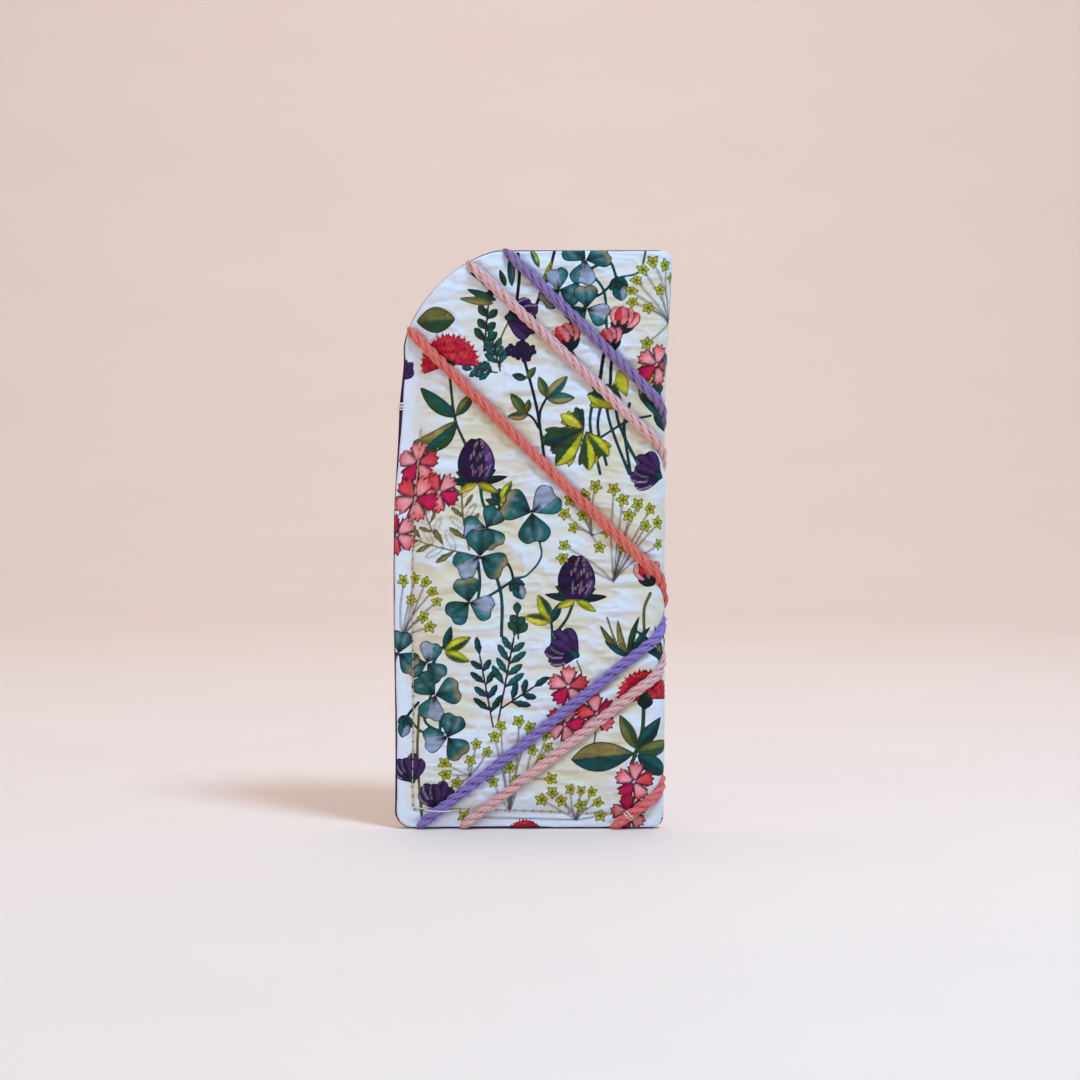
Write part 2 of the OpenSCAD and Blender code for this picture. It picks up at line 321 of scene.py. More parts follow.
cover_step, cover_turned = 0.46, 1.7     # between the mesh's points, and turned under at the edges
edge_round_r = 1.15
cover_u, cover_z, cover_under = cloth_grid(cover_step, cover_turned)
edge = from_edge(cover_u, cover_z)
drop = corner_cut(edge_round_r - edge, edge_round_r)
thick = np.minimum(panel_t, 2.1 + 0.3 * smooth(edge / 2))
down = np.where(cover_under, thick - drop, drop)
rise = cloth_rise(cover_u, cover_z) * smooth(edge / 1.6)
inset = rim_of_lining(cover_u, cover_z) * np.exp(-edge / 2.5)
to_mouth, to_low = mouth_edge(cover_u) - cover_z, cover_z - bottom_edge(cover_u)
to_side = np.minimum(cover_u, cloth_w - cover_u)
aside = np.exp(-to_side / 3)
upward = np.exp(-to_low / 3) - np.exp(-to_mouth / 3)
moved_u = cover_u + inset * aside * np.where(cover_u < mid_u, 1, -1)
moved_z = cover_z + inset * upward * (1 - 0.6 * aside)
cover_points = on_cloth(moved_u, moved_z, rise - down)
cover_normals = grid_normals(cover_points)
mid_column = cover_u.shape[0] // 2

# the print: a garden of flowers and leaves, each painted flat and shaded like a watercolour
# bare cloth: cream cotton tinted blue here as painted cool light on the puckers' crests and by the seams;
# the painted warm shade further on turns its hollows beige
cool_lit_cloth = np.array([0.72, 0.81, 0.95])


def dye(red, green, blue):
    """A colour given as it looks on a screen, as light."""
    shown = np.array([red, green, blue]) / 255
    return np.where(shown < 0.04045, shown / 12.92, ((shown + 0.055) / 1.055) ** 2.4)


pine, teal, sea = dye(6, 44, 50), dye(12, 80, 82), dye(32, 112, 114)
mist, slate = dye(150, 168, 200), dye(74, 104, 132)
moss, olive, straw = dye(38, 76, 44), dye(106, 112, 58), dye(150, 138, 82)
lime, acid, bark, twig = dye(190, 196, 38), dye(220, 212, 66), dye(92, 84, 42), dye(62, 42, 52)
night, plum, violet = dye(22, 4, 44), dye(44, 12, 74), dye(98, 62, 136)
lilac, blush, salmon = dye(214, 196, 226), dye(240, 166, 178), dye(222, 98, 112)
coral, scarlet, wine = dye(208, 52, 62), dye(190, 12, 50), dye(84, 6, 30)
magenta, ochre = dye(194, 14, 84), dye(150, 122, 56)

flat_u, flat_z = cover_u.ravel(), cover_z.ravel()
print_u, print_z = flat_u, flat_z       # the same, from where a repeat of the print starts
ground = np.tile(cool_lit_cloth, (flat_u.size, 1))
paint = np.tile(cool_lit_cloth, (flat_u.size, 1))
outside = np.full(flat_u.size, 3.0)     # how far each place is outside the nearest painted shape
wash = 0.55 * patches(flat_u, flat_z, 2.6, 2.6, 11) + 0.45 * patches(flat_u, flat_z, 1.1, 1.1, 12)


def around(u, z, distance):
    return np.nonzero((np.abs(print_u - u) < distance) & (np.abs(print_z - z) < distance))[0]


def mix(a, b, share):
    share = np.clip(share, 0, 1)[..., None]
    return a * (1 - share) + b * share


def lay(at, away, colour, outline=None, line_w=0.3):
    """Paints one shape: away is how far each place is outside it."""
    colour = np.broadcast_to(colour, (at.size, 3)) * (1 + 0.3 * wash[at])[:, None]
    if outline is not None:
        colour = mix(colour, outline, 1.4 - np.abs(away + 0.15) / line_w)
    take = (away < 0) | ((outside[at] > 0) & (away < outside[at]))
    paint[at[take]] = colour[take]
    outside[at] = np.minimum(outside[at], away)


def rule(at, away, half, colour, strength=1.0):
    """Draws a fine line over whatever is there."""
    cover = np.clip((half - away) / 0.46 + 0.5, 0, 1) * strength
    ground[at] = mix(ground[at], colour, cover)
    paint[at] = mix(paint[at], colour, cover)


def own_axes(at, u, z, angle):
    a = math.radians(angle)
    du, dz = print_u[at] - u, print_z[at] - z
    return du * math.cos(a) + dz * math.sin(a), dz * math.cos(a) - du * math.sin(a)


def ahead(u, z, distance, angle):
    a = math.radians(angle)
    return u + distance * math.cos(a), z + distance * math.sin(a)


def leaf(u, z, length, width, angle, tone, other=None, fullest=0.45, teeth=0, bow=0.0,
         outline=None, vein=0.5, blunt=0.8):
    """A pointed leaf or petal from its base, with a tone on each side of its rib."""
    other = tone if other is None else other
    at = around(*ahead(u, z, length / 2, angle), 0.62 * length + width / 2 + 0.8)
    p, q = own_axes(at, u, z, angle)
    t = np.clip(p / length, 0, 1)
    q = q - bow * length * np.sin(math.pi * t)
    half = width / 2 * np.sin(math.pi * t ** (math.log(0.5) / math.log(fullest))) ** blunt
    if teeth:
        half = half * (0.74 + 0.26 * ((t * teeth) % 1))
    away = np.where(p > length, np.hypot(p - length, q), 0.92 * (np.abs(q) - half))
    away = np.where(p < 0, np.hypot(p, q), away)
    colour = mix(np.where(q[:, None] > 0, tone, other), tone * 0.35, 0.75 - 2.2 * t)
    lay(at, away, colour, tone * 0.3 if outline is None else outline, 0.26)
    if vein:
        rule(at, np.where((p > 0.2) & (t < 0.93), np.abs(q), 9), 0.1, tone * 0.28, vein)


def stem(points, width, tone):
    """A stem along a smooth line through its points."""
    points = np.array(points, float)
    ends = np.vstack([2 * points[0] - points[1], points, 2 * points[-1] - points[-2]])
    way = []
    for k in range(len(points) - 1):
        a, b, c, d = ends[k:k + 4]
        for t in np.linspace(0, 1, 9)[:-1]:
            way.append(0.5 * (2 * b + (c - a) * t + (2 * a - 5 * b + 4 * c - d) * t**2
                              + (3 * b - a - 3 * c + d) * t**3))
    way.append(points[-1])
    way = np.array(way)
    middle, distance = (way.min(0) + way.max(0)) / 2, np.ptp(way, axis=0).max() / 2 + width + 1
    at = around(*middle, distance)
    if not at.size:
        return
    away = np.full(at.size, 1e3)
    for a, b in zip(way[:-1], way[1:]):
        d = b - a
        du, dz = print_u[at] - a[0], print_z[at] - a[1]
        t = np.clip((du * d[0] + dz * d[1]) / (d @ d + 1e-9), 0, 1)
        gap = np.hypot(du - t * d[0], dz - t * d[1])
        away = np.minimum(away, gap - width / 2)
    if width < 0.55:
        rule(at, away + width / 2, width / 2, tone, 0.85)
    else:
        lay(at, away, tone, tone * 0.4, 0.2)


def clover(u, z, size, turn, pale=1):
    """Three heart-shaped leaflets, dark at the middle, one of them pale."""
    for k in range(3):
        angle = turn + 120 * k
        at = around(*ahead(u, z, size * 0.55, angle), size * 0.8 + 1)
        p, q = own_axes(at, u, z, angle)
        t = np.clip(p / size, 0, 1)
        half = size * 0.5 * np.sin(math.pi * t ** 1.4 * 0.93) ** 0.75
        tip = size * (1.02 - 0.13 * np.exp(-(q / (0.2 * size)) ** 2) - 0.9 * (q / size) ** 2)
        away = np.where(p < 0, np.hypot(p, q), 0.9 * np.maximum(np.abs(q) - half, p - tip))
        side = np.where(q[:, None] > 0, sea * 0.75, teal)
        if k == pale:
            side = np.where(q[:, None] > -0.1 * size, mist, sea)
        if k == (pale + 1) % 3:
            side = mix(side, straw, smooth((t - 0.6) / 0.3))
        streak = np.exp(-((np.abs(q) - 0.35 * half) / 0.8) ** 2) * smooth((t - 0.25) / 0.3)
        colour = mix(side, mist * 0.7, 0.55 * streak * smooth((wash[at] + 0.6) / 0.9))
        ray = 0.3 * np.cos(7 * np.arctan2(q, p + 0.5))
        colour = mix(colour, pine * 0.18, 1.35 + ray - 3.0 * t - 0.4 * np.abs(wash[at]))
        lay(at, away, colour, pine * 0.5, 0.24)


def pink(u, z, size, turn, bright=3):
    """Five toothed petals, outlined, one of them magenta."""
    for k in range(5):
        angle = turn + 72 * k
        at = around(u, z, size * 1.25 + 1)
        p, q = own_axes(at, u, z, angle)
        r, bearing = np.hypot(p, q), np.arctan2(q, p)
        saw = np.abs((bearing * 3.6 + 0.3 * k) % 1 - 0.5) * 2
        tip = size * (0.98 + 0.2 * saw - 0.55 * bearing**2)
        half = 0.1 * size + 0.42 * size * np.clip(r / size, 0, 1) ** 1.1
        away = np.where(p < 0, r, np.maximum(r - tip, np.abs(q) - half))
        t = r / size
        colour = mix(blush, salmon, 0.75 * smooth((t - 0.45) / 0.5) + 0.7 * wash[at])
        if k == bright % 5:
            colour = magenta * (1 + 0.12 * wash[at])[:, None]
        elif k == (bright + 2) % 5:
            colour = mix(salmon, coral, t)
        lay(at, away, colour, wine, 0.5)
        rule(at, np.where((t > 0.15) & (t < 0.5), np.abs(q), 9), 0.05, wine, 0.5)
    at = around(u, z, 2)
    r = np.hypot(print_u[at] - u, print_z[at] - z)
    lay(at, r - 0.95, wine, wine)
    lay(at, r - 0.45, lilac)


def carnation(u, z, size, turn):
    """A fringed fan of red petals over a green cup."""
    for ring, share in enumerate((1.0, 0.74, 0.46)):
        at = around(u, z, size * 1.2 + 1)
        p, q = own_axes(at, u, z, turn)
        r, bearing = np.hypot(p, q), np.arctan2(q, p)
        saw = np.abs((bearing * (5.2 - ring) + 0.37 * ring) % 1 - 0.5) * 2
        fringe = 0.13 * np.abs((bearing * (13 - 2 * ring)) % 1 - 0.5) * 2 + 0.14 * saw
        tip = size * share * (1.06 - fringe)
        away = np.where(np.abs(bearing) > 1.85, np.minimum(r, 5), r - tip)
        away = np.maximum(away, (np.abs(bearing) - 1.75) * r)
        tone = mix(scarlet, coral, 0.15 + 0.8 * wash[at] + 0.35 * np.cos(bearing * 7 + ring * 2))
        lay(at, away, mix(tone, scarlet * 0.6, 0.6 - 1.2 * r / tip), wine, 0.3)
        ray = np.abs((bearing * 3.4 + 0.21 * ring) % 1 - 0.5) * r / 3.4
        rule(at, np.where((away < -0.2) & (r > 0.35 * size), ray, 9), 0.06, wine, 0.7)
    leaf(*ahead(u, z, 1.2, turn + 180), 3.4, 4.2, turn, moss * 0.6, fullest=0.5, vein=0)


def cup_flower(u, z, size, turn):
    """A purple goblet of overlapping round-topped petals with pale edges."""
    petals = ((-38, 0.94, 0.7), (38, 0.94, 0.7), (-18, 1.08, 0.66), (20, 1.06, 0.66), (3, 0.95, 0.7))
    lit = 0.75 * plum + 0.25 * violet
    for k, (lean, share, wide) in enumerate(petals):
        long = size * 1.45 * share
        leaf(u, z, long, size * wide, turn + lean, plum if k % 2 else night, lit,
             fullest=0.7, outline=night * 0.5, vein=0, blunt=0.42)
        at = around(*ahead(u, z, long * 0.6, turn + lean), size)
        p, q = own_axes(at, u, z, turn + lean)
        t = p / long
        rim = np.abs(q - 0.36 * size * wide * np.sin(math.pi * np.clip(t, 0, 1) ** 1.8) ** 0.5)
        rule(at, np.where((t > 0.45) & (t < 0.97) & (q > 0), rim, 9), 0.12, lilac, 0.8 if k % 2 else 0.4)
    leaf(*ahead(u, z, 0.6, turn + 180), size * 0.5, size * 0.36, turn, teal * 0.7, vein=0)


def round_head(u, z, size, turn):
    """A closed purple flower head with pale stripes, in a collar of narrow leaves."""
    collar = ((172, 0.95, pine), (148, 0.75, moss), (205, 0.6, acid), (8, 0.95, pine * 0.6),
              (32, 0.7, teal * 0.6), (-28, 0.72, lime), (90, 0.4, teal))
    for lean, share, tone in collar:
        leaf(u, z, size * 1.25 * share, size * 0.3, turn - 90 + lean, tone, tone * 0.55, vein=0)
    at = around(*ahead(u, z, size * 0.85, turn), size * 1.6)
    p, q = own_axes(at, u, z, turn)
    t = np.clip(p / (size * 1.72), 0, 1)
    scallop = 0.1 * np.abs((q / size * 3.1) % 1 - 0.5)
    half = size * 0.7 * np.sin(math.pi * t**0.8) ** 0.55
    away = np.maximum(0.9 * (np.abs(q) - half), p - size * (1.68 - scallop))
    away = np.where(p < 0, np.hypot(p, q), away)
    colour = mix(plum, night, 0.7 + wash[at])
    colour = mix(colour, violet * 0.8, smooth((-q / size - 0.22) / 0.2) * smooth(wash[at] * 2 + 0.5))
    lay(at, away, colour, night * 0.6, 0.3)
    for row, (start, stop) in enumerate(((0.14, 0.4), (0.46, 0.7), (0.75, 0.92))):
        for k in range(7):
            place = size * (0.16 - 0.12 * k + 0.04 * (row % 2)) * np.sin(math.pi * (0.1 + 0.8 * t))
            late, early = 0.07 * ((k + row) % 3), 0.06 * ((k * 2 + row) % 3)
            drawn = (t > start + late) & (t < stop - early) & (away < -0.35)
            dash = np.where(drawn, np.abs(q - place), 9)
            rule(at, dash, 0.08 + 0.06 * (k % 2), blush if (k + row) % 2 else lilac, 0.7)


floret_reach = 3.0
florets = []            # the middle of each small yellow-green floret, which the material draws


def umbel(base, *tips):
    """Fine rays from one point, each ending in a small yellow-green floret."""
    for k, tip in enumerate(tips):
        knee = (base[0] + 0.45 * (tip[0] - base[0]) + (k % 3 - 1) * 0.7, (base[1] + tip[1]) / 2)
        stem([base, knee, tip], 0.5, twig)
        florets.append((tip[0] + start_u, tip[1] + start_z))


def sprig(u, z, length, turn, pairs, leaf_l, leaf_w, tone, other, teeth=0, start=0.2):
    """A thin twig with paired leaves and one at its tip."""
    tip = ahead(u, z, length, turn)
    stem([(u, z), ahead(u, z, length / 2, turn), tip], 0.62, twig)
    for k in range(pairs):
        spot = ahead(u, z, length * (start + (0.96 - start) * k / pairs), turn)
        for way in (1, -1):
            size = leaf_l * (1 - 0.25 * k / pairs) * (1.08 if (k + way) % 2 else 0.92)
            leaf(*ahead(*spot, 0.6 * (way > 0), turn), size, leaf_w, turn + way * 42, tone, other,
                 fullest=0.58, teeth=teeth, vein=0.35)
    leaf(*tip, leaf_l * 0.95, leaf_w, turn, tone, other, fullest=0.55, teeth=teeth, vein=0.35)


def line_sprig(u, z, length, turn, pairs, leaf_l):
    """A twig of which half the leaves are only drawn in outline."""
    stem([(u, z), ahead(u, z, length * 0.5, turn + 3), ahead(u, z, length, turn)], 0.6, straw * 0.8)
    for k in range(pairs):
        spot = ahead(u, z, length * (0.15 + 0.8 * k / pairs), turn)
        for way in (1, -1):
            angle, size = turn + way * (48 - 3 * k), leaf_l * (1.1 - 0.5 * k / pairs)
            if (k + (way > 0)) % 2:
                leaf(*spot, size, size * 0.3, angle, straw, olive, fullest=0.62, teeth=3, vein=0.3)
            else:
                at = around(*ahead(*spot, size / 2, angle), size)
                p, q = own_axes(at, *spot, angle)
                t = np.clip(p / size, 0, 1)
                saw = 0.6 + 0.8 * np.abs((t * 6) % 1 - 0.5)
                half = size * 0.16 * np.sin(math.pi * t) ** 0.7 * saw
                drawn = np.where((p > 0) & (p < size), np.abs(np.abs(q) - half), 9)
                rule(at, drawn, 0.14, ochre * 0.4, 0.9)


def lobed_leaf(u, z, lobes):
    """A leaf of broad toothed lobes from one point, each with its way, its length and its two tones."""
    for angle, length, one, two in lobes:
        for side, tone in ((1, one), (-1, two)):
            leaf(*ahead(u, z, length * 0.42, angle), length * 0.5, length * 0.24, angle + side * 30,
                 tone, fullest=0.42, outline=bark * 0.5, vein=0)
        leaf(u, z, length, length * 0.4, angle, one, two,
             fullest=0.6, outline=bark * 0.4, vein=0.3, blunt=0.7)


def rosebud(u, z, size, turn):
    for lean, tone in ((-30, salmon), (30, blush), (-8, salmon), (12, coral)):
        leaf(u, z, size * 1.25, size * 0.7, turn + lean, tone, (tone + blush) / 2,
             fullest=0.62, outline=wine, vein=0, blunt=0.55)
    for lean in (-52, -18, 22, 55):
        leaf(*ahead(u, z, 0.8, turn + 180), size * 0.75, size * 0.26, turn + lean, pine * 0.5, vein=0)


def nodding_bud(u, z, size, turn):
    leaf(u, z, size * 1.35, size * 0.85, turn, mist * 0.8, teal, fullest=0.6, outline=pine)
    for lean in (-40, 0, 38):
        leaf(u, z, size * 0.8, size * 0.4, turn + lean, teal, pine, vein=0)


# the whole print, once from the stitched corner, and again further round the cloth
for start_u, start_z in ((0, 0), (mid_u + 2, 96), (mid_u + 2, -96)):
    print_u, print_z = flat_u - start_u, flat_z - start_z
    # stems
    stem([(17, 149), (19, 135), (23, 126)], 0.95, moss)
    stem([(41.5, 156), (46, 139), (49, 122)], 1.0, pine * 0.6)
    stem([(49.5, 142), (47.5, 138), (47, 133)], 0.8, pine * 0.6)
    stem([(42.4, 137), (45, 135), (46.8, 132)], 0.8, pine * 0.6)
    stem([(37, 167), (34, 160), (34, 152)], 0.6, straw * 0.8)
    stem([(40, 189), (40.5, 182), (39.6, 173)], 1.1, pine * 0.5)
    stem([(52, 190), (50, 182), (46, 172)], 1.0, pine * 0.6)
    stem([(61, 186), (63, 178), (61.5, 170)], 1.0, teal)
    stem([(64, 184), (69.5, 186), (72, 180)], 0.9, teal)
    stem([(57, 174), (66, 175), (72, 181)], 0.8, pine)
    stem([(64, 182), (68, 176), (69, 164)], 0.9, teal)
    stem([(73, 181), (79, 183), (81, 191)], 0.7, slate)
    stem([(71.5, 163), (68.5, 157), (67, 147)], 1.2, pine * 0.4)
    stem([(74, 164), (71, 155), (70.5, 146)], 1.1, pine * 0.6)
    stem([(57, 158), (61, 152), (66, 143)], 0.8, moss)
    for k, (a, b) in enumerate(((64.5, 61.5), (67.5, 63.5), (69, 71), (72, 74), (77, 71.5))):
        stem([(a, 140), ((a + b) / 2 + 1, 132), (b + 6, 117 + 3 * (k % 2))], 1.0, teal * 0.8)
    stem([(28, 114), (29.5, 107), (33.5, 102)], 1.0, teal)
    stem([(34.5, 112), (34.6, 106), (33.5, 101)], 0.9, moss)
    stem([(47.3, 97), (48.5, 90), (44, 84), (40, 83)], 0.7, slate)
    stem([(32, 89), (35.5, 77), (35.5, 64)], 1.1, teal)
    stem([(28, 88), (28.5, 81), (27.5, 74)], 1.0, teal)
    stem([(36, 90), (38.5, 86), (39.5, 82)], 0.9, pine)
    stem([(39, 82), (33, 78), (29, 76)], 0.9, teal)
    stem([(59, 75), (57, 70), (53.5, 65)], 1.0, moss)
    stem([(51.7, 69), (52, 66), (52, 62)], 0.9, teal)
    stem([(84, 78), (82, 72), (82.5, 60)], 1.0, olive)
    stem([(70, 70), (72, 64), (74, 59)], 0.7, straw)
    stem([(60, 56), (61.5, 52), (61, 48)], 0.6, straw)
    stem([(16, 60), (13, 55), (11, 50)], 1.0, teal)
    stem([(12, 44), (10, 36), (16, 32)], 0.9, teal)
    stem([(14, 43), (15, 38), (15, 30)], 0.9, teal * 0.7)
    stem([(8, 42), (4, 37), (4, 34)], 0.9, pine)
    stem([(5, 36), (8, 33), (12, 31)], 0.8, teal)
    stem([(8, 38), (7.5, 24), (9, 4)], 0.9, olive)
    stem([(82, 42), (81.5, 33), (79.5, 26), (78, 22)], 1.3, moss)
    stem([(66, 36), (66, 31), (65, 26)], 0.6, straw)
    stem([(66, 128), (76, 134), (84, 136)], 0.8, teal)
    # fine sprays
    umbel((90, 166), (78, 180), (80, 183.5), (83, 186), (87, 185), (76.5, 176.5), (77, 173), (85.5, 177),
          (82, 171), (90, 181), (82, 159.5))
    umbel((65, 97), (66, 113), (62.5, 110), (58, 108.5), (56, 104), (62, 103.5), (59, 99.5), (70, 98),
          (67.5, 93))
    umbel((72, 82), (72, 112), (75, 108.5), (77, 103.5), (80, 107), (84, 105.5), (82.5, 100), (87, 94),
          (75, 93), (56, 93.5), (55.5, 89.5), (86.5, 101))
    umbel((2.6, 63), (3.5, 82), (7.2, 82.5), (10.7, 81.5), (13, 78.6), (14.4, 75.3), (6, 75.5), (10, 70),
          (12, 67))
    umbel((25, 18), (16.5, 22), (16.8, 18.4), (20.5, 15.6), (25, 23), (27, 28.5), (30.5, 26))
    umbel((38, 6), (35, 34.5), (33, 31), (41, 36), (44.5, 34), (38, 20.5), (40, 16.5), (32.5, 16))
    umbel((44, 17), (45.5, 26.5), (50.5, 27.5), (50, 31), (48.5, 23.5), (51.5, 17))
    umbel((60, 3), (48.5, 10), (52, 12.5), (55, 9.5), (58, 13.5), (61.5, 13), (65, 12.5), (67, 9),
          (61.5, 8), (68, 4.5), (23, 4))
    # ferns, sprigs and leaves
    sprig(28.6, 157, 15, 84, 3, 5.4, 2.7, moss * 0.9, pine, start=0.16)
    sprig(34, 150.5, 10, 104, 3, 5.2, 2.5, teal, sea * 0.8, teeth=3)
    sprig(33, 150, 8, 172, 3, 4.4, 2.2, teal, sea * 0.8, teeth=3)
    sprig(32.5, 34, 24, 100, 4, 6.6, 2.6, teal, pine, start=0.2, teeth=2)
    sprig(34, 35, 29, 79, 4, 7.6, 2.7, sea * 0.8, teal, start=0.42, teeth=2)
    sprig(35, 40, 13, 34, 2, 6.4, 2.7, teal, pine, start=0.3, teeth=2)
    sprig(41, 63, 8, 92, 2, 4.4, 2.8, moss, teal)
    leaf(19.4, 135.5, 16, 5, 142, moss, teal, bow=0.04)
    leaf(19.4, 136, 9.5, 3.8, 52, olive, moss)
    leaf(19, 134, 15.5, 4.4, 205, olive, straw, bow=0.12)
    leaf(19.5, 133, 14.5, 4.6, 218, moss, teal, bow=0.1)
    leaf(5.2, 166.8, 14, 8.6, 3, olive, moss * 0.8, fullest=0.52)
    leaf(49.5, 142, 7.4, 3.4, 112, olive, moss)
    leaf(49.5, 142, 9.8, 4, 45, straw, teal)
    leaf(49.5, 141.5, 9.4, 4, 2, sea * 0.8, straw)
    leaf(42.4, 136.8, 8.4, 3.6, 128, olive, moss)
    leaf(42.8, 137, 4.5, 2.4, 80, olive, moss)
    leaf(43.2, 136, 7, 3, 182, straw, moss)
    leaf(42.6, 148, 5, 2.6, 165, moss, pine)
    leaf(42.8, 148, 5, 2.4, 52, olive, moss)
    leaf(34, 174, 14, 2.2, 140, teal, sea, bow=-0.08)
    leaf(33, 173.5, 11, 2.4, 160, moss, teal)
    leaf(32, 172.5, 12, 2.6, 172, straw, olive)
    leaf(38, 178, 11, 2.6, 92, teal, slate)
    leaf(36, 178, 6, 2, 110, pine, moss)
    leaf(48, 178, 9, 2, 70, lime, moss)
    leaf(50, 173, 8, 2, 60, lime, olive)
    leaf(47, 184, 8, 2.2, 112, sea, lime)
    lobed_leaf(62, 131.5, ((196, 15, pine, moss * 0.8), (232, 15, lime, moss * 0.8)))
    lobed_leaf(62.5, 131, ((276, 13, lime, moss * 0.8), (314, 11.5, lime, moss)))
    lobed_leaf(62, 131.5, ((112, 8, moss, pine), (148, 9.5, lime, acid)))
    lobed_leaf(75, 138.5, ((160, 13, lime, teal * 0.8), (128, 10, acid, moss)))
    lobed_leaf(80, 142, ((70, 12, lime, acid), (20, 10, moss, teal * 0.8), (-28, 12, pine, teal)))
    leaf(76, 142, 9.5, 4.4, 108, lime, acid, fullest=0.55)
    leaf(85, 136, 10, 5, 330, teal, pine)
    line_sprig(25, 92, 22, 98, 5, 7)
    line_sprig(24, 91, 24, 164, 5, 7)
    line_sprig(14, 96, 12, 112, 3, 5)
    leaf(34.6, 107.5, 8.4, 3.2, 62, lime, moss)
    leaf(34.6, 107.5, 7.6, 2.8, 26, acid, moss)
    leaf(34.6, 107, 7, 2.8, 114, teal, pine)
    leaf(34.6, 107, 5, 2.2, 160, moss, teal)
    leaf(51.7, 68.8, 9.8, 4.4, 116, lime, teal * 0.7)
    leaf(51.5, 68.5, 8.8, 4, 168, acid, moss)
    leaf(52, 68.5, 7.4, 2.8, 66, teal, pine)
    blades = ((128, 14, olive), (104, 13, straw), (76, 14, moss), (58, 12, teal), (150, 11, teal),
              (38, 10, olive))
    for k, (lean, size, tone) in enumerate(blades):
        leaf(76 + 0.6 * k, 57, size, 2.2, lean, tone, tone * 0.6, bow=0.05)
        leaf(88 + 0.6 * k, 55, size, 2.4, lean, tone * 0.7, pine, bow=-0.05)
    leaf(16.8, 59.2, 8.4, 3, 74, teal, pine)
    leaf(16.8, 59, 10, 4, 28, lime, moss * 0.6)
    leaf(16.8, 58.6, 9, 3.6, -20, lime, moss)
    leaf(79.5, 27, 12.5, 4.6, 116, olive, moss)
    leaf(79, 25.5, 21, 10, 186, teal * 0.8, straw * 0.8, fullest=0.55)
    leaf(80, 27, 13, 5, 52, teal, pine)
    leaf(80, 26, 14, 5, 10, olive, moss)
    leaf(80, 25, 14, 6, -28, teal, pine, bow=-0.05)
    # clovers
    clover(62, 186.5, 8.6, 20, 2)
    clover(53.5, 177, 7.6, 100, 0)
    clover(62.5, 171, 8, 215, 1)
    clover(30.5, 99.5, 8, 60, 1)
    clover(45.3, 104.4, 10.8, 38, 0)
    clover(28.6, 90, 9.6, 330, 2)
    clover(25, 75, 8.8, 100, 2)
    clover(11, 55, 7.6, 75, 0)
    clover(13.6, 44.5, 9, 15, 2)
    clover(17.5, 30.6, 8.6, 70, 1)
    clover(1.5, 58, 8, 200, 0)
    nodding_bud(71.8, 181, 6, 285)
    nodding_bud(39.5, 82.5, 5.4, 295)
    nodding_bud(4, 37.5, 5.6, 255)
    # flowers
    carnation(17, 152.5, 10.8, 98)
    carnation(82.5, 43.5, 10, 96)
    leaf(82.4, 40, 4.5, 5, 92, pine * 0.5, fullest=0.5, vein=0)
    carnation(43, -3, 6.5, 90)
    cup_flower(36, 168, 7.2, 356)
    cup_flower(88, 116, 7, 160)
    cup_flower(60.5, 57.5, 7.2, 152)
    cup_flower(6, 15.5, 6.2, 108)
    cup_flower(14.5, 6.5, 6.4, 98)
    cup_flower(-2, 148, 5, 60)
    round_head(27, 114, 8.8, 94)
    round_head(59.8, 75.8, 8.8, 88)
    for shift, rise_by in ((-2.2, 0.4), (0.6, 1.8), (2.6, 0.2), (-0.6, -0.8), (1.4, -1.6)):
        for k in range(5):
            leaf(40.6 + 1.3 * shift, 157 + rise_by, 2.3, 1.8, 72 * k + 20 * shift, plum, night,
                 fullest=0.62, vein=0)
    rosebud(73.4, 163.5, 6.6, 74)
    rosebud(71, 158, 5.6, 104)
    rosebud(57.5, 158, 6.8, 112)
    rosebud(84, 81, 6.4, 98)
    pink(85.5, 152.5, 6.2, 74, 2)
    pink(7.2, 120.5, 6.4, 90, 2)
    pink(14.8, 111, 6.2, 120, 3)
    pink(7, 109, 7, 60, 4)
    pink(1, 97, 6.4, 40, 1)
    pink(57.2, 47.4, 6.2, 88, 2)
    pink(66.5, 38.5, 6.2, 100, 4)
    pink(56, 35, 6, 70, 4)
    pink(79, 16, 6, 84, 2)
    pink(77.5, 5.5, 5.8, 100, 0)
print_u, print_z = flat_u, flat_z

# painted shade: a dark dot at each needle hole of the top stitching
stitch_pitch = 3.0


def points_along(line, pitch, share):
    """Places every so often along a line, and the way it runs there."""
    line = np.array(line, float)
    lengths = np.linalg.norm(np.diff(line, axis=0), axis=1)
    total = np.concatenate([[0], np.cumsum(lengths)])
    at = np.arange(share * pitch, total[-1], pitch)
    return np.stack([np.interp(at, total, line[:, k]) for k in (0, 1)], 1)


for line in (side_line, bottom_line):
    for u, z in points_along(line, stitch_pitch, 0.05):
        for hole_u in (u, cloth_w - u):
            at = around(hole_u, z, 1.2)
            rule(at, np.hypot(flat_u[at] - hole_u, flat_z[at] - z), 0.36, dye(44, 28, 24), 1)


def shader_group(name, inputs, outputs):
    """An empty node group with named sockets, what it is given and what it puts out."""
    group = bpy.data.node_groups.new(name, "ShaderNodeTree")
    for label, kind, value in inputs:
        socket = group.interface.new_socket(name=label, in_out="INPUT", socket_type="NodeSocket" + kind)
        if value is not None:
            socket.default_value = value
    for label, kind in outputs:
        group.interface.new_socket(name=label, in_out="OUTPUT", socket_type="NodeSocket" + kind)
    return group, group.nodes.new("NodeGroupInput").outputs, group.nodes.new("NodeGroupOutput").inputs


def add_node(tree, kind, sockets, output=0, **settings):
    """A node with its settings. Its sockets take a number, a colour or another node's output."""
    node = tree.nodes.new("ShaderNode" + kind)
    for setting, value in settings.items():
        setattr(node, setting, value)
    for socket, value in sockets.items():
        if hasattr(value, "is_output"):
            tree.links.new(value, node.inputs[socket])
        elif value is not None:
            node.inputs[socket].default_value = value if np.ndim(value) == 0 else (*value, 1)
    return node.outputs if output is None else node.outputs[output]


def math_node(tree, operation, *values):
    return add_node(tree, "Math", dict(enumerate(values)), operation=operation)


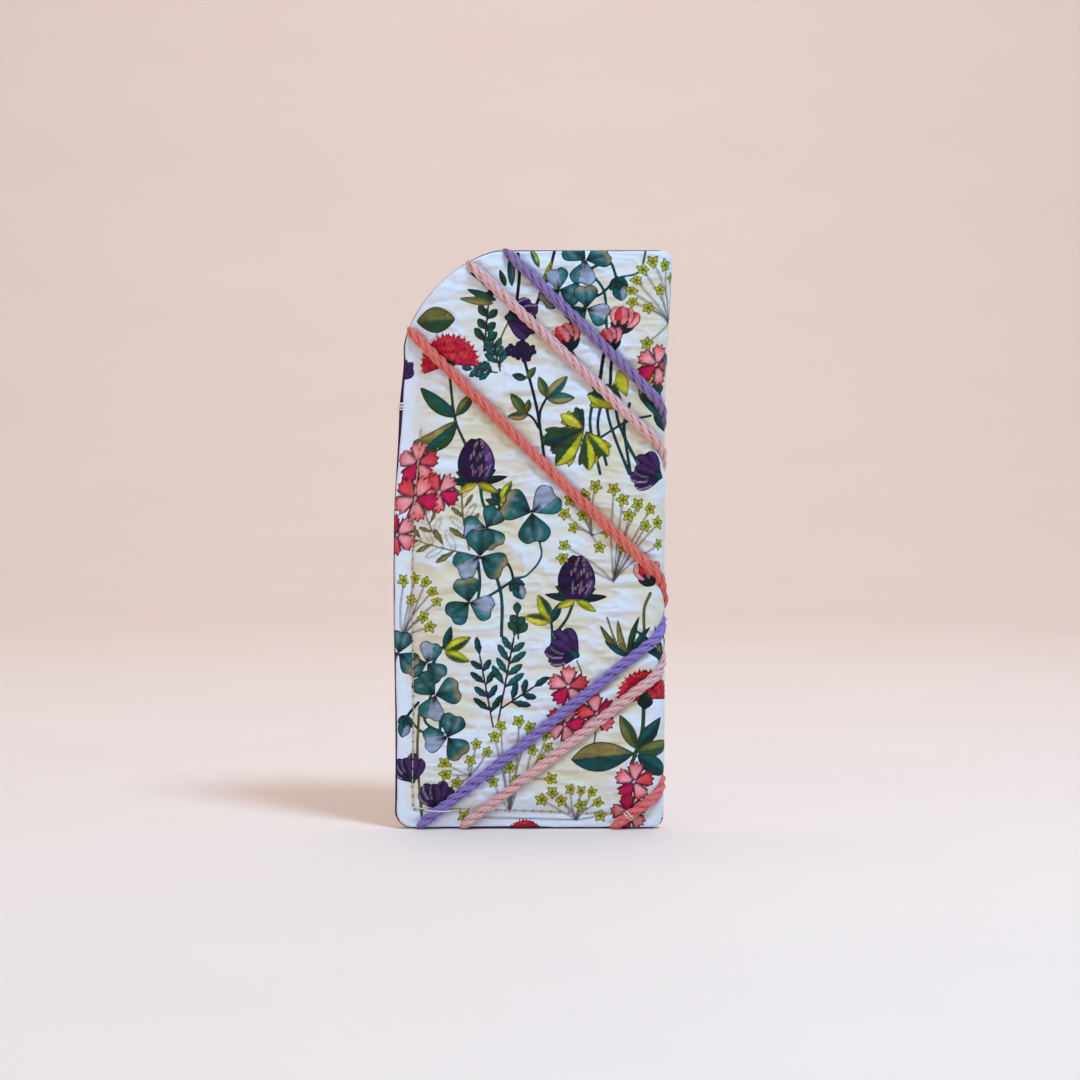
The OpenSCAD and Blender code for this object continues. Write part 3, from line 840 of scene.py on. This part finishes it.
def hypot_node(tree, a, b):
    b_squared = math_node(tree, "MULTIPLY", b, b)
    return math_node(tree, "SQRT", math_node(tree, "MULTIPLY_ADD", a, a, b_squared))


def noise_node(tree, place, scale, detail=3.0, roughness=0.55):
    sockets = {"Vector": place, "Scale": scale, "Detail": detail, "Roughness": roughness}
    return add_node(tree, "TexNoise", sockets, "Fac")


def attribute_node(tree, name, output):
    return add_node(tree, "Attribute", {}, output, attribute_name=name)


def mix_colour(tree, share, a, b, blend="MIX"):
    sockets = {"Factor": share, "A": a, "B": b}
    return add_node(tree, "Mix", sockets, "Result", data_type="RGBA", blend_type=blend)


# plain weave: warp threads up the cloth and weft threads across it, over and under by turns
plain_weave, given, shown = shader_group(
    "plain_weave",
    [("Cloth place", "Vector", None), ("Threads per mm", "Float", 2.6)],
    [("Height", "Float"), ("Weave shade and slubs", "Float")],
)
calc = partial(math_node, plain_weave)
weave_place = add_node(plain_weave, "SeparateXYZ", {0: given["Cloth place"]}, None)
thread_rate = calc("MULTIPLY", given["Threads per mm"], math.pi)
warp_wave = calc("SINE", calc("MULTIPLY", weave_place["X"], thread_rate))
weft_wave = calc("SINE", calc("MULTIPLY", weave_place["Y"], thread_rate))
warp_over = calc("GREATER_THAN", calc("MULTIPLY", warp_wave, weft_wave), 0.0)
over_part = calc("MULTIPLY", calc("ABSOLUTE", warp_wave), warp_over)
under_part = calc("MULTIPLY", calc("ABSOLUTE", weft_wave), calc("SUBTRACT", 1.0, warp_over))
weave_height = calc("ADD", over_part, under_part)
slub = noise_node(plain_weave, given["Cloth place"], 0.9, 4.0)
slub_tone = calc("MULTIPLY_ADD", slub, 0.16, 0.92)
# painted shade: darker where the threads dip between each other, over the slubs' own random tone
weave_shade_and_slubs = calc("MULTIPLY_ADD", calc("SUBTRACT", weave_height, 0.64), 0.16, slub_tone)
plain_weave.links.new(calc("MULTIPLY_ADD", slub, 0.8, weave_height), shown["Height"])
plain_weave.links.new(weave_shade_and_slubs, shown["Weave shade and slubs"])


def cloth_shader(name, roughness, sheen, specular=0.3):
    """A material with a Principled shader set for cloth."""
    material = bpy.data.materials.new(name)
    material.use_nodes = True
    shader = material.node_tree.nodes["Principled BSDF"]
    shader.inputs["Roughness"].default_value = roughness
    shader.inputs["Sheen Weight"].default_value = sheen
    shader.inputs["Sheen Roughness"].default_value = 0.45
    shader.inputs["Specular IOR Level"].default_value = specular
    return material, material.node_tree, shader


def bump_on(tree, shader, height, strength, depth):
    bump = add_node(tree, "Bump", {"Strength": strength, "Distance": depth, "Height": height})
    tree.links.new(bump, shader.inputs["Normal"])


def weave_on(tree, shader, threads, strength):
    """Places the weave in a material, bumps its normal, and gives a painted shade in the dips between its
    threads, with the slubs' random tone.
    """
    sockets = {"Threads per mm": threads, "Cloth place": attribute_node(tree, "cloth_place", "Vector")}
    weave = add_node(tree, "Group", sockets, None, node_tree=plain_weave)
    bump_on(tree, shader, weave["Height"], strength, 0.00012)
    return weave["Weave shade and slubs"]


# a floret from its middle outwards: five pointed outlined petals, in millimetres
petal_middle, petal_half = 0.98, 0.86
floret_print, given, shown = shader_group(
    "floret_print",
    [("From middle", "Vector", None), ("Sure", "Float", 1.0)],
    [("Petal", "Float"), ("Outline", "Float")],
)
calc = partial(math_node, floret_print)
floret_xyz = add_node(floret_print, "SeparateXYZ", {0: given["From middle"]}, None)
bearing = calc("ARCTAN2", floret_xyz["Y"], floret_xyz["X"])
bearing = calc("MULTIPLY_ADD", bearing, 5 / (2 * math.pi), floret_xyz["Z"])
bearing = calc("SUBTRACT", calc("FLOORED_MODULO", bearing, 1.0), 0.5)
bearing = calc("MULTIPLY", bearing, 2 * math.pi / 5)
out_from = hypot_node(floret_print, floret_xyz["X"], floret_xyz["Y"])
along_petal = calc("MULTIPLY", out_from, calc("COSINE", bearing))
along_petal = calc("MULTIPLY_ADD", along_petal, 1 / petal_half, -petal_middle / petal_half)
beside_petal = calc("MULTIPLY", out_from, calc("SINE", bearing))
narrowing = calc("MULTIPLY_ADD", along_petal, -0.22, 0.58)
petal_out = hypot_node(floret_print, along_petal, calc("DIVIDE", beside_petal, narrowing))
sure = calc("GREATER_THAN", given["Sure"], 0.5)
outline = add_node(floret_print, "MapRange", {"Value": petal_out, "From Min": 0.5, "From Max": 0.85})
floret_print.links.new(calc("MULTIPLY", calc("LESS_THAN", petal_out, 1.0), sure), shown["Petal"])
floret_print.links.new(outline, shown["Outline"])

# the material takes the ground or the paint by a crisp edge, then lays the florets over them
printed_cotton, tree, shader = cloth_shader("printed_cotton", 0.82, 0.05)
crisp = {"Value": attribute_node(tree, "print_edge", "Fac"), "From Min": 0.07, "From Max": -0.07}
dyed_share = add_node(tree, "MapRange", crisp, interpolation_type="SMOOTHSTEP")
bare_share = math_node(tree, "MULTIPLY_ADD", dyed_share, -0.7, 1.0)
bare_hollow = math_node(tree, "MULTIPLY", attribute_node(tree, "hollow", "Fac"), bare_share)
# painted warm shade: beige laid into the hollows of the puckers and into broad random cream patches, less
# where dye lies
hollow_shade_and_patches = mix_colour(tree, bare_hollow, (1.0, 1.0, 1.0), (1.0, 0.85, 0.57))
printed = mix_colour(tree, dyed_share, attribute_node(tree, "print_ground", "Color"),
                     attribute_node(tree, "print_paint", "Color"))
sockets = {"From middle": attribute_node(tree, "floret_place", "Vector"),
           "Sure": attribute_node(tree, "floret_sure", "Fac")}
floret = add_node(tree, "Group", sockets, None, node_tree=floret_print)
petal = mix_colour(tree, floret["Outline"], dye(172, 182, 50), dye(56, 56, 10))
printed = mix_colour(tree, floret["Petal"], printed, petal)
printed = mix_colour(tree, 1.0, printed, hollow_shade_and_patches, "MULTIPLY")
tone = weave_on(tree, shader, 2.6, 0.35)
tree.links.new(mix_colour(tree, 1.0, printed, tone, "MULTIPLY"), shader.inputs["Base Color"])

# which floret is nearest to each place of the cloth, and where there is only one to draw
florets = np.array(florets)
nearest_d = np.full(flat_u.size, 1e3)
nearest_k = np.zeros(flat_u.size, int)
for k, (u, z) in enumerate(florets):
    at = around(u, z, 4)
    d = np.hypot(flat_u[at] - u, flat_z[at] - z)
    closer = d < nearest_d[at]
    nearest_d[at[closer]] = d[closer]
    nearest_k[at[closer]] = k
kind = np.where(nearest_d < 1e2, nearest_k, -1).reshape(cover_u.shape)
same = np.ones(cover_u.shape, bool)
for axis in (0, 1):
    for step in (1, -1):
        same &= np.roll(kind, step, axis) == kind
floret_sure = (same & (kind >= 0) & (nearest_d.reshape(cover_u.shape) < floret_reach)).ravel()
floret_size = 1.24 + 0.12 * np.sin(7.0 * nearest_k)
floret_place = np.stack([(flat_u - florets[nearest_k, 0]) / floret_size,
                         (flat_z - florets[nearest_k, 1]) / floret_size, 0.37 * nearest_k], -1)
# where the painted warm shade goes: the hollows of the puckers, mixed with broad random cream patches,
# but not near the edges, which keep the painted cool light
hollow_shade_and_patches_share = 0.42 + 0.5 * patches(flat_u, flat_z, 17, 10, 31) + 0.5 * (0.45 - puckers(flat_u, flat_z))
hollow = smooth(hollow_shade_and_patches_share) * smooth((edge.ravel() - 1) / 8)

opaque = np.ones((flat_u.size, 1))
cover_values = (
    ("print_ground", "FLOAT_COLOR", np.hstack([ground, opaque])),
    ("print_paint", "FLOAT_COLOR", np.hstack([np.clip(paint, 0, 1), opaque])),
    ("print_edge", "FLOAT", outside),
    ("floret_place", "FLOAT_VECTOR", floret_place),
    ("floret_sure", "FLOAT", floret_sure),
    ("hollow", "FLOAT", hollow),
    ("cloth_place", "FLOAT_VECTOR", np.stack([flat_u, flat_z, 0 * flat_u], -1)),
)
rows = cover_u.shape[1]
for side, first, last in (("front", 0, mid_column), ("back", mid_column, cover_u.shape[0] - 1)):
    piece = cloth_piece(side + "_cover", cover_points, cover_normals, first, last, printed_cotton)
    for layer, kind, values in cover_values:
        add_values(piece, layer, kind, values[first * rows:(last + 1) * rows])
    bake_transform(piece)
    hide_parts("pouch_cover", side + "_lip_cover")

# ---------------------------------------------------------------------------------------------
# Lining. Dark aubergine cotton, sewn to the cover round the edges and turned inside, where it
# makes the flat pocket. A thin rim of it rolls out past the cover.
# ---------------------------------------------------------------------------------------------
lining_step, lining_turned = 1.1, 1.9
lining_round_r = 0.3
lining_u, lining_z, lining_under = cloth_grid(lining_step, lining_turned)
edge = from_edge(lining_u, lining_z)
drop = corner_cut(lining_round_r - edge, lining_round_r)
pocket_side = np.minimum(panel_t + 0.75, half_depth(side_x(lining_u), lining_z) - 0.04)
down = np.where(lining_under, pocket_side - 0.7 + drop, pocket_side - drop)
pucker = 0.18 * patches(lining_u, lining_z, 14, 5, 41) * smooth(edge / 6)
lining_points = on_cloth(lining_u, lining_z, pucker * smooth(side_x(lining_u) - left - 20) - down)
lining_normals = grid_normals(lining_points)
lining_mid = lining_u.shape[0] // 2

lining_cotton, tree, shader = cloth_shader("lining_cotton", 0.7, 0.2)
tone = weave_on(tree, shader, 2.2, 0.5)
faded = noise_node(tree, attribute_node(tree, "cloth_place", "Vector"), 0.25, 3.0)
aubergine = mix_colour(tree, faded, dye(40, 10, 62), dye(66, 22, 92))
tree.links.new(mix_colour(tree, 1.0, aubergine, tone, "MULTIPLY"), shader.inputs["Base Color"])

for side, first, last in (("front", 0, lining_mid), ("back", lining_mid, lining_u.shape[0] - 1)):
    name = side + "_lining"
    piece = cloth_piece(name, lining_points, lining_normals, first, last, lining_cotton, flip=True)
    flat = np.stack([lining_u, lining_z, 0 * lining_u], -1)[first:last + 1]
    add_values(piece, "cloth_place", "FLOAT_VECTOR", flat)
    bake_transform(piece)
    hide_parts("pouch_lining", side + "_lip_lining")

# ---------------------------------------------------------------------------------------------
# Batting. A layer of white polyester wadding between cover and lining, caught in the seams. It is
# one soft slab over each side, pressed down where the cords and the stitching cross it.
# ---------------------------------------------------------------------------------------------
batting, tree, shader = cloth_shader("white_batting", 0.95, 0.3)
bump_on(tree, shader, noise_node(tree, None, 900, 8.0, 0.75), 1.0, 0.0006)
wadding = mix_colour(tree, noise_node(tree, None, 300, 4.0), dye(226, 224, 214), dye(252, 251, 246))
tree.links.new(wadding, shader.inputs["Base Color"])


def batting_slab(name, first_u, last_u):
    """A closed slab between two distances round the cloth."""
    u = np.linspace(first_u, last_u, 60)
    share = np.linspace(0, 1, 120)
    rim = 1.5
    z_low, z_high = bottom_edge(u) + rim, mouth_edge(u) - rim
    z = z_low[:, None] + (z_high - z_low)[:, None] * share[None, :]
    u = np.repeat(u[:, None], share.size, 1)
    outer = on_cloth(u, z, cloth_rise(u, z) * smooth(from_edge(u, z) / 4) - 0.6)
    inner = on_cloth(u, z, np.full(u.shape, 0.45 - panel_t))
    index, quads = grid_quads(*u.shape)
    ring = np.concatenate([index[:, 0], index[-1, 1:], index[-2::-1, -1], index[0, -2:0:-1]])
    after = np.roll(ring, -1)
    n = u.size
    wall = np.stack([ring, ring + n, after + n, after], -1)
    points = np.vstack([outer.reshape(-1, 3), inner.reshape(-1, 3)])
    return mesh_piece(name, points, np.vstack([quads, quads[:, ::-1] + n, wall]).tolist(), batting)


for side, first_u, last_u in (("front", 1.8, mid_u), ("back", mid_u, cloth_w - 1.8)):
    piece = batting_slab(side + "_batting", first_u, last_u)
    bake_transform(piece)
    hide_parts("pouch_batting", side + "_lip_batting")

# ---------------------------------------------------------------------------------------------
# Cords. Six lengths of mercerised cotton, each three plies twisted together, laid over the cover
# and caught in the seams at both ends. They sink into the padding and cross on the back.
# ---------------------------------------------------------------------------------------------
cord_lift = 0.85                    # from the stretched cover to the cord's middle
lay_length, yarn_lay = 11.5, 1.9    # one turn of a ply round the cord, and of a yarn round its ply
ply_r, ply_centre = 0.94, 0.86
ring_pitch, ply_sides = 0.37, 26
hump_reach, hump_height = 6.5, 2.7  # where an upper cord climbs over a lower one
uppers = [name for name in cord_routes if name.startswith("upper")]
lowers = [name for name in cord_routes if name.startswith("lower")]


def crossing_lift(name, u):
    """How far a cord rises over the ones that it crosses."""
    if name in lowers:
        return np.zeros(u.shape)
    rise = np.zeros(u.shape)
    for other in lowers:
        fine = np.linspace(mid_u, cloth_w - 9, 2000)
        gap = cord_height(cord_routes[name], fine) - cord_height(cord_routes[other], fine)
        meet = fine[np.argmin(np.abs(gap))]
        t = np.clip((u - meet) / hump_reach, -1, 1)
        rise = np.maximum(rise, hump_height * (1 + np.cos(math.pi * t)) / 2)
    return rise


def cord_path(name):
    """The middle of a cord, the way off the cloth, and how far its ends are squeezed in the seams."""
    route = cord_routes[name]
    steps = round(1.35 * (route[2][0] - route[0][0]) / ring_pitch)
    u = np.linspace(route[0][0], route[2][0], steps)
    z = cord_height(route, u)
    from_end = np.minimum(u - route[0][0], route[2][0] - u)
    slim = 0.42 + 0.58 * smooth(from_end / 2.6)
    off = cord_lift * slim + crossing_lift(name, u) - tight_on_fold(u) - 1.3 * (1 - smooth(from_end / 2))
    middle = on_cloth(u, z, off)
    for _ in range(3):
        middle[1:-1] = (middle[:-2] + 2 * middle[1:-1] + middle[2:]) / 4
    return middle, unit(on_cloth(u, z, 1.0) - on_cloth(u, z, 0.0)), slim


def cord_piece(name, seed, cotton):
    """Three lobed plies wound round the cord's middle."""
    middle, outward, slim = cord_path(name)
    along = unit(np.gradient(middle, axis=0))
    across = unit(np.cross(along, outward))
    up = np.cross(across, along)
    run = np.concatenate([[0], np.cumsum(np.linalg.norm(np.diff(middle, axis=0), axis=1))])
    loose = np.random.default_rng(seed)
    around_ply = np.arange(ply_sides) * 2 * math.pi / ply_sides
    points, faces, values = [], [], []
    for ply in range(3):
        unsteady = 0.16 * np.sin(run / 7.3 + seed + ply * 2) + 0.1 * np.sin(run / 2.9 + ply)
        turn = 2 * math.pi * (run / lay_length + ply / 3) + unsteady
        plump = 1 + 0.05 * np.sin(run / 3.7 + 2 * ply + seed)
        ply_out = np.cos(turn)[:, None] * up + np.sin(turn)[:, None] * across
        ply_middle = middle + (ply_centre * slim)[:, None] * ply_out
        ply_along = unit(np.gradient(ply_middle, axis=0))
        ply_side = unit(np.cross(ply_along, ply_out))
        ply_out = np.cross(ply_side, ply_along)
        start = ply * len(run) * ply_sides
        angle = around_ply[None, :] + 0 * run[:, None]
        yarn = angle * 5 + 2 * math.pi * run[:, None] / yarn_lay + 0.5 * np.sin(run[:, None] * 0.9 + seed)
        knots = np.sin(run[:, None] * 2.3 + 3 * angle + seed) * np.sin(run[:, None] * 1.1 + ply)
        hairy = loose.normal(0, 0.02, angle.shape) + 0.05 * knots
        radius = ply_r * (slim * plump)[:, None] * (0.84 + 0.24 * np.abs(np.cos(yarn / 2)) ** 0.8 + hairy)
        radius[:3] *= np.array([0.5, 0.8, 0.95])[:, None]
        radius[-3:] *= np.array([0.95, 0.8, 0.5])[:, None]
        ring = (ply_middle[:, None] + (radius * np.cos(angle))[..., None] * ply_out[:, None]
                + (radius * np.sin(angle))[..., None] * ply_side[:, None])
        points.append(ring.reshape(-1, 3))
        index = start + np.arange(len(run) * ply_sides).reshape(len(run), ply_sides)
        nxt = np.roll(index, -1, 1)
        faces.extend(np.stack([index[:-1], nxt[:-1], nxt[1:], index[1:]], -1).reshape(-1, 4).tolist())
        faces.append(index[0, ::-1].tolist())
        faces.append(index[-1].tolist())
        # how far out on its ply each place faces, which sets the painted shade and painted highlight of
        # the fibres
        depth = 0.5 + 0.5 * np.cos(angle)
        values.append(np.stack([yarn, run[:, None] + 40 * ply + 0 * angle, depth], -1).reshape(-1, 3))
    piece = mesh_piece(name + "_twisted", np.vstack(points), faces, cotton)
    add_values(piece, "ply_place", "FLOAT_VECTOR", np.vstack(values))
    return piece


# fibres that run along the yarns of a ply, with painted shade in the valleys between the plies and on the
# yarns' sides, and painted highlight on their outward crests
cord_fibres, given, shown = shader_group(
    "cord_fibres",
    [("Ply place", "Vector", None), ("Shaded valley", "Color", (0.5, 0.1, 0.1, 1)),
     ("Lit crest", "Color", (0.9, 0.4, 0.4, 1))],
    [("Color", "Color"), ("Height", "Float")],
)
calc = partial(math_node, cord_fibres)
ply_xyz = add_node(cord_fibres, "SeparateXYZ", {0: given["Ply place"]}, None)
yarn_round = calc("MULTIPLY_ADD", calc("COSINE", ply_xyz["X"]), 0.5, 0.5)
fibre_lines = calc("SINE", calc("MULTIPLY", ply_xyz["X"], 5.0))
fuzz = noise_node(cord_fibres, given["Ply place"], 3.0, 5.0, 0.7)
in_light = calc("MULTIPLY_ADD", ply_xyz["Z"], 0.75, calc("MULTIPLY_ADD", yarn_round, 0.6, -0.2))
in_light = calc("ADD", in_light, calc("MULTIPLY_ADD", fuzz, 1.7, -0.85))
in_light = add_node(cord_fibres, "Clamp", {0: calc("MULTIPLY_ADD", fibre_lines, 0.06, in_light)})
cord_fibres.links.new(mix_colour(cord_fibres, in_light, given["Shaded valley"], given["Lit crest"]), shown["Color"])
cord_fibres.links.new(calc("MULTIPLY_ADD", fibre_lines, 0.3, fuzz), shown["Height"])


def cord_cotton(name, shaded_valley, lit_crest):
    material, tree, shader = cloth_shader(name, 0.5, 0.2, 0.5)
    sockets = {"Shaded valley": shaded_valley, "Lit crest": lit_crest, "Ply place": attribute_node(tree, "ply_place", "Vector")}
    fibres = add_node(tree, "Group", sockets, None, node_tree=cord_fibres)
    bump_on(tree, shader, fibres["Height"], 0.8, 0.0002)
    tree.links.new(fibres["Color"], shader.inputs["Base Color"])
    return material


# each cord's colour in the painted shade of its valleys and in the painted highlight of its crests
purple_cotton = cord_cotton("purple_cotton", dye(56, 30, 84), dye(168, 138, 204))
violet_cotton = cord_cotton("violet_cotton", dye(50, 34, 112), dye(164, 142, 232))
pink_cotton = cord_cotton("pink_cotton", dye(206, 96, 88), dye(255, 216, 216))
coral_cotton = cord_cotton("coral_cotton", dye(206, 34, 36), dye(255, 134, 116))
bright_coral = cord_cotton("bright_coral_cotton", dye(212, 36, 56), dye(255, 136, 136))

cord_kinds = {
    "upper_purple_cord": ("purple_cord", purple_cotton),
    "upper_pink_cord": ("pink_cord", pink_cotton),
    "upper_coral_cord": ("coral_cord", coral_cotton),
    "lower_purple_cord": ("violet_cord", violet_cotton),
    "lower_pink_cord": ("pink_cord", pink_cotton),
    "lower_coral_cord": ("coral_cord", bright_coral),
}
for seed, (name, (finish, cotton)) in enumerate(cord_kinds.items()):
    piece = cord_piece(name, seed, cotton)
    if name in uppers:
        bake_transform(piece)
        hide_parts(name, name + "_end")
    else:
        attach(piece, "pouch")
        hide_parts(name)

# ---------------------------------------------------------------------------------------------
# Sewing thread. Cream cotton thread in a row of lock stitches down the side and along the bottom,
# white thread in the loops that catch the cords, and a white bar tack that ends the side seam.
# ---------------------------------------------------------------------------------------------
stitch_thread_r, loop_thread_r = 0.17, 0.2


def sewing_cotton(name, dark, pale):
    material, tree, shader = cloth_shader(name, 0.6, 0.2)
    plies = noise_node(tree, None, 2600, 3.0, 0.6)
    tree.links.new(mix_colour(tree, plies, dark, pale), shader.inputs["Base Color"])
    return material


threads = {
    "cream_thread": sewing_cotton("cream_thread", dye(150, 122, 88), dye(226, 208, 172)),
    "white_thread": sewing_cotton("white_thread", dye(206, 200, 190), dye(252, 250, 244)),
}


def thread_mesh(name, runs, finish, radius, node):
    """Short lengths of thread, each a list of places, which stand for one node of the CAD."""
    points, faces = [], []
    sides = 8
    for run in runs:
        run = np.asarray(run, float)
        along = unit(np.gradient(run, axis=0))
        side = unit(np.cross(along, (0.2, 0.9, 0.3)))
        up = np.cross(side, along)
        start = sum(len(p) for p in points)
        for k in range(len(run)):
            a = np.arange(sides) * 2 * math.pi / sides
            thin = radius * (0.6 if k in (0, len(run) - 1) else 1)
            twist = 1 + 0.12 * np.cos(2 * a + k * 1.3)
            points.append(run[k] + thin * (np.cos(a) * twist)[:, None] * up[k]
                          + thin * (np.sin(a) * twist)[:, None] * side[k])
            if k:
                row = start + (k - 1) * sides
                faces += [[row + m, row + (m + 1) % sides, row + sides + (m + 1) % sides, row + sides + m]
                          for m in range(sides)]
        faces.append([start + m for m in range(sides - 1, -1, -1)])
        faces.append([start + (len(run) - 1) * sides + m for m in range(sides)])
    piece = mesh_piece(name, np.vstack(points), faces, threads[finish])
    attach(piece, "pouch")
    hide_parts(node)


def stitch_runs(line):
    """Each stitch rises from one needle hole and dips into the next."""
    holes = points_along(line, stitch_pitch, 0.05)
    runs = []
    for a, b in zip(holes[:-1], holes[1:]):
        for back in (False, True):
            t = np.linspace(0.04, 0.86, 9)
            u, z = a[0] + (b[0] - a[0]) * t, a[1] + (b[1] - a[1]) * t
            u = cloth_w - u if back else u
            near_cord = min(to_line(u, z, route).min() for route in cord_routes.values())
            if near_cord < cord_r - 0.1:
                continue
            arch = 0.17 * np.sin(math.pi * (t - 0.04) / 0.82) ** 0.5 - 0.04
            runs.append(on_cloth(u, z, cloth_rise(u, z) * smooth(from_edge(u, z) / 1.6) + arch + 0.1))
    return runs


for seam, line in (("side", side_line), ("bottom", bottom_line)):
    runs = stitch_runs(line)
    thread_mesh(seam + "_stitching", runs, "cream_thread", stitch_thread_r, seam + "_seam_thread")


def loop_over(name, u):
    """A loop of thread over a cord and into the cloth on both sides."""
    route = cord_routes[name]
    z = cord_height(route, np.array([u - 0.5, u, u + 0.5]))
    middle = on_cloth(u, z[1], cord_lift)
    way = unit(on_cloth(u + 0.5, z[2], cord_lift) - on_cloth(u - 0.5, z[0], cord_lift))
    out = on_cloth(u, z[1], 1.0) - on_cloth(u, z[1], 0.0)
    across = unit(np.cross(way, out))
    reach, half_turn = cord_r + 0.08, 1.95
    return [middle + reach * (math.cos(a) * out + math.sin(a) * across) + 0.5 * a / half_turn * way
            for a in np.linspace(-half_turn, half_turn, 21)]


coral_start = cord_routes["lower_coral_cord"][0][0]
loops = [loop_over("lower_coral_cord", coral_start + further) for further in (5.6, 6.4)]
loops += [loop_over(name, route[2][0] - 6) for name, route in cord_routes.items()]
float_u = np.linspace(8.4, 21.5, 60)
float_z = 6.9 - 0.045 * (float_u - 8) + 0.25 * np.sin(float_u / 3)
on_purple = to_line(float_u, float_z, cord_routes["lower_purple_cord"])
float_off = 0.3 + (cord_lift + 2.0) * smooth(2.2 - on_purple / 1.6)
loops.append(list(on_cloth(float_u, float_z, float_off)))
thread_mesh("cord_catch_loops", loops, "white_thread", loop_thread_r, "cord_tacks")

bar = []
for k in range(5):
    height = crease[2] - 3 + 0.5 * k + (0.3 if k % 2 else 0)
    reach_in = 1.9 + 0.5 * math.sin(k * 2.1)
    inward = np.linspace(0.15, reach_in, 7)
    level, lift = height + 0.12 * inward, np.where(inward < 0.4, -0.22, 0.28)
    front_side = on_cloth(inward, level, lift)[::-1]
    back_side = on_cloth(cloth_w - inward, level, lift)
    over_edge = [on_cloth(0.0, height, 0.0) * [1, 0, 1] + [-0.25, y, 0] for y in (-1.2, 0, 1.2)]
    bar.append(np.vstack([front_side, over_edge, back_side]))
thread_mesh("mouth_bar_tack", bar, "white_thread", loop_thread_r, "bar_tack")

# ---------------------------------------------------------------------------------------------
# Floor and light. A pale floor that sweeps up behind the case, one large cool light from above and
# one low warm light opposite, so that the puckers show.
# ---------------------------------------------------------------------------------------------
sweep = [(-1.6 + 5.2 * t, 0.0) for t in np.arange(20) / 39]
for t in np.arange(20, 40) / 39:
    a = (t - 0.5) * math.pi
    sweep.append((1.0 + 0.9 * math.sin(a), 0.9 * (1 - math.cos(a))))
sweep += [(1.9, 1.4), (1.9, 2.6)]
floor_points = np.array([(x, y, z) for y, z in sweep for x in (-3.0, 3.0)]) / MM
floor_faces = [(2 * k, 2 * k + 1, 2 * k + 3, 2 * k + 2) for k in range(len(sweep) - 1)]
floor_paint, tree, shader = cloth_shader("floor_paint", 0.7, 0.0)
painted = mix_colour(tree, noise_node(tree, None, 40, 2.0), dye(250, 230, 218), dye(254, 236, 223))
tree.links.new(painted, shader.inputs["Base Color"])
mesh_piece("studio_floor", floor_points, floor_faces, floor_paint)


def soft_light(name, place, target, width, power, colour):
    data = bpy.data.lights.new(name, "AREA")
    data.shape = "DISK"
    data.size = width
    data.energy = power
    data.color = colour
    lamp = bpy.data.objects.new(name, data)
    lamp.location = place
    way = unit(np.subtract(target, place))
    lamp.rotation_euler = (math.acos(-way[2]), 0, math.atan2(way[1], way[0]) - math.pi / 2)
    put_in_scene(lamp)


middle = (0, 0, 0.09)
soft_light("cool_key", (0.5, -0.62, 1.2), middle, 0.36, 14, (0.46, 0.72, 1.0))
soft_light("warm_low", (-0.85, -0.8, 0.06), middle, 0.6, 4.2, (1.0, 0.7, 0.42))
soft_light("room", (-0.2, -1.7, 0.9), middle, 1.6, 2.2, (1.0, 0.95, 0.9))
soft_light("above", (0, 0.15, 1.7), middle, 1.8, 4.5, (1.0, 0.87, 0.8))
soft_light("backdrop", (0, 0.5, 1.7), (0, 1.9, 0.6), 1.6, 10, (1.0, 0.93, 0.91))

world = bpy.data.worlds.new("studio")
world.use_nodes = True
sky = world.node_tree.nodes["Background"].inputs
sky["Color"].default_value = (0.9, 0.92, 1.0, 1)
sky["Strength"].default_value = 0.3
bpy.context.scene.world = world
bpy.context.scene.view_settings.view_transform = "Standard"
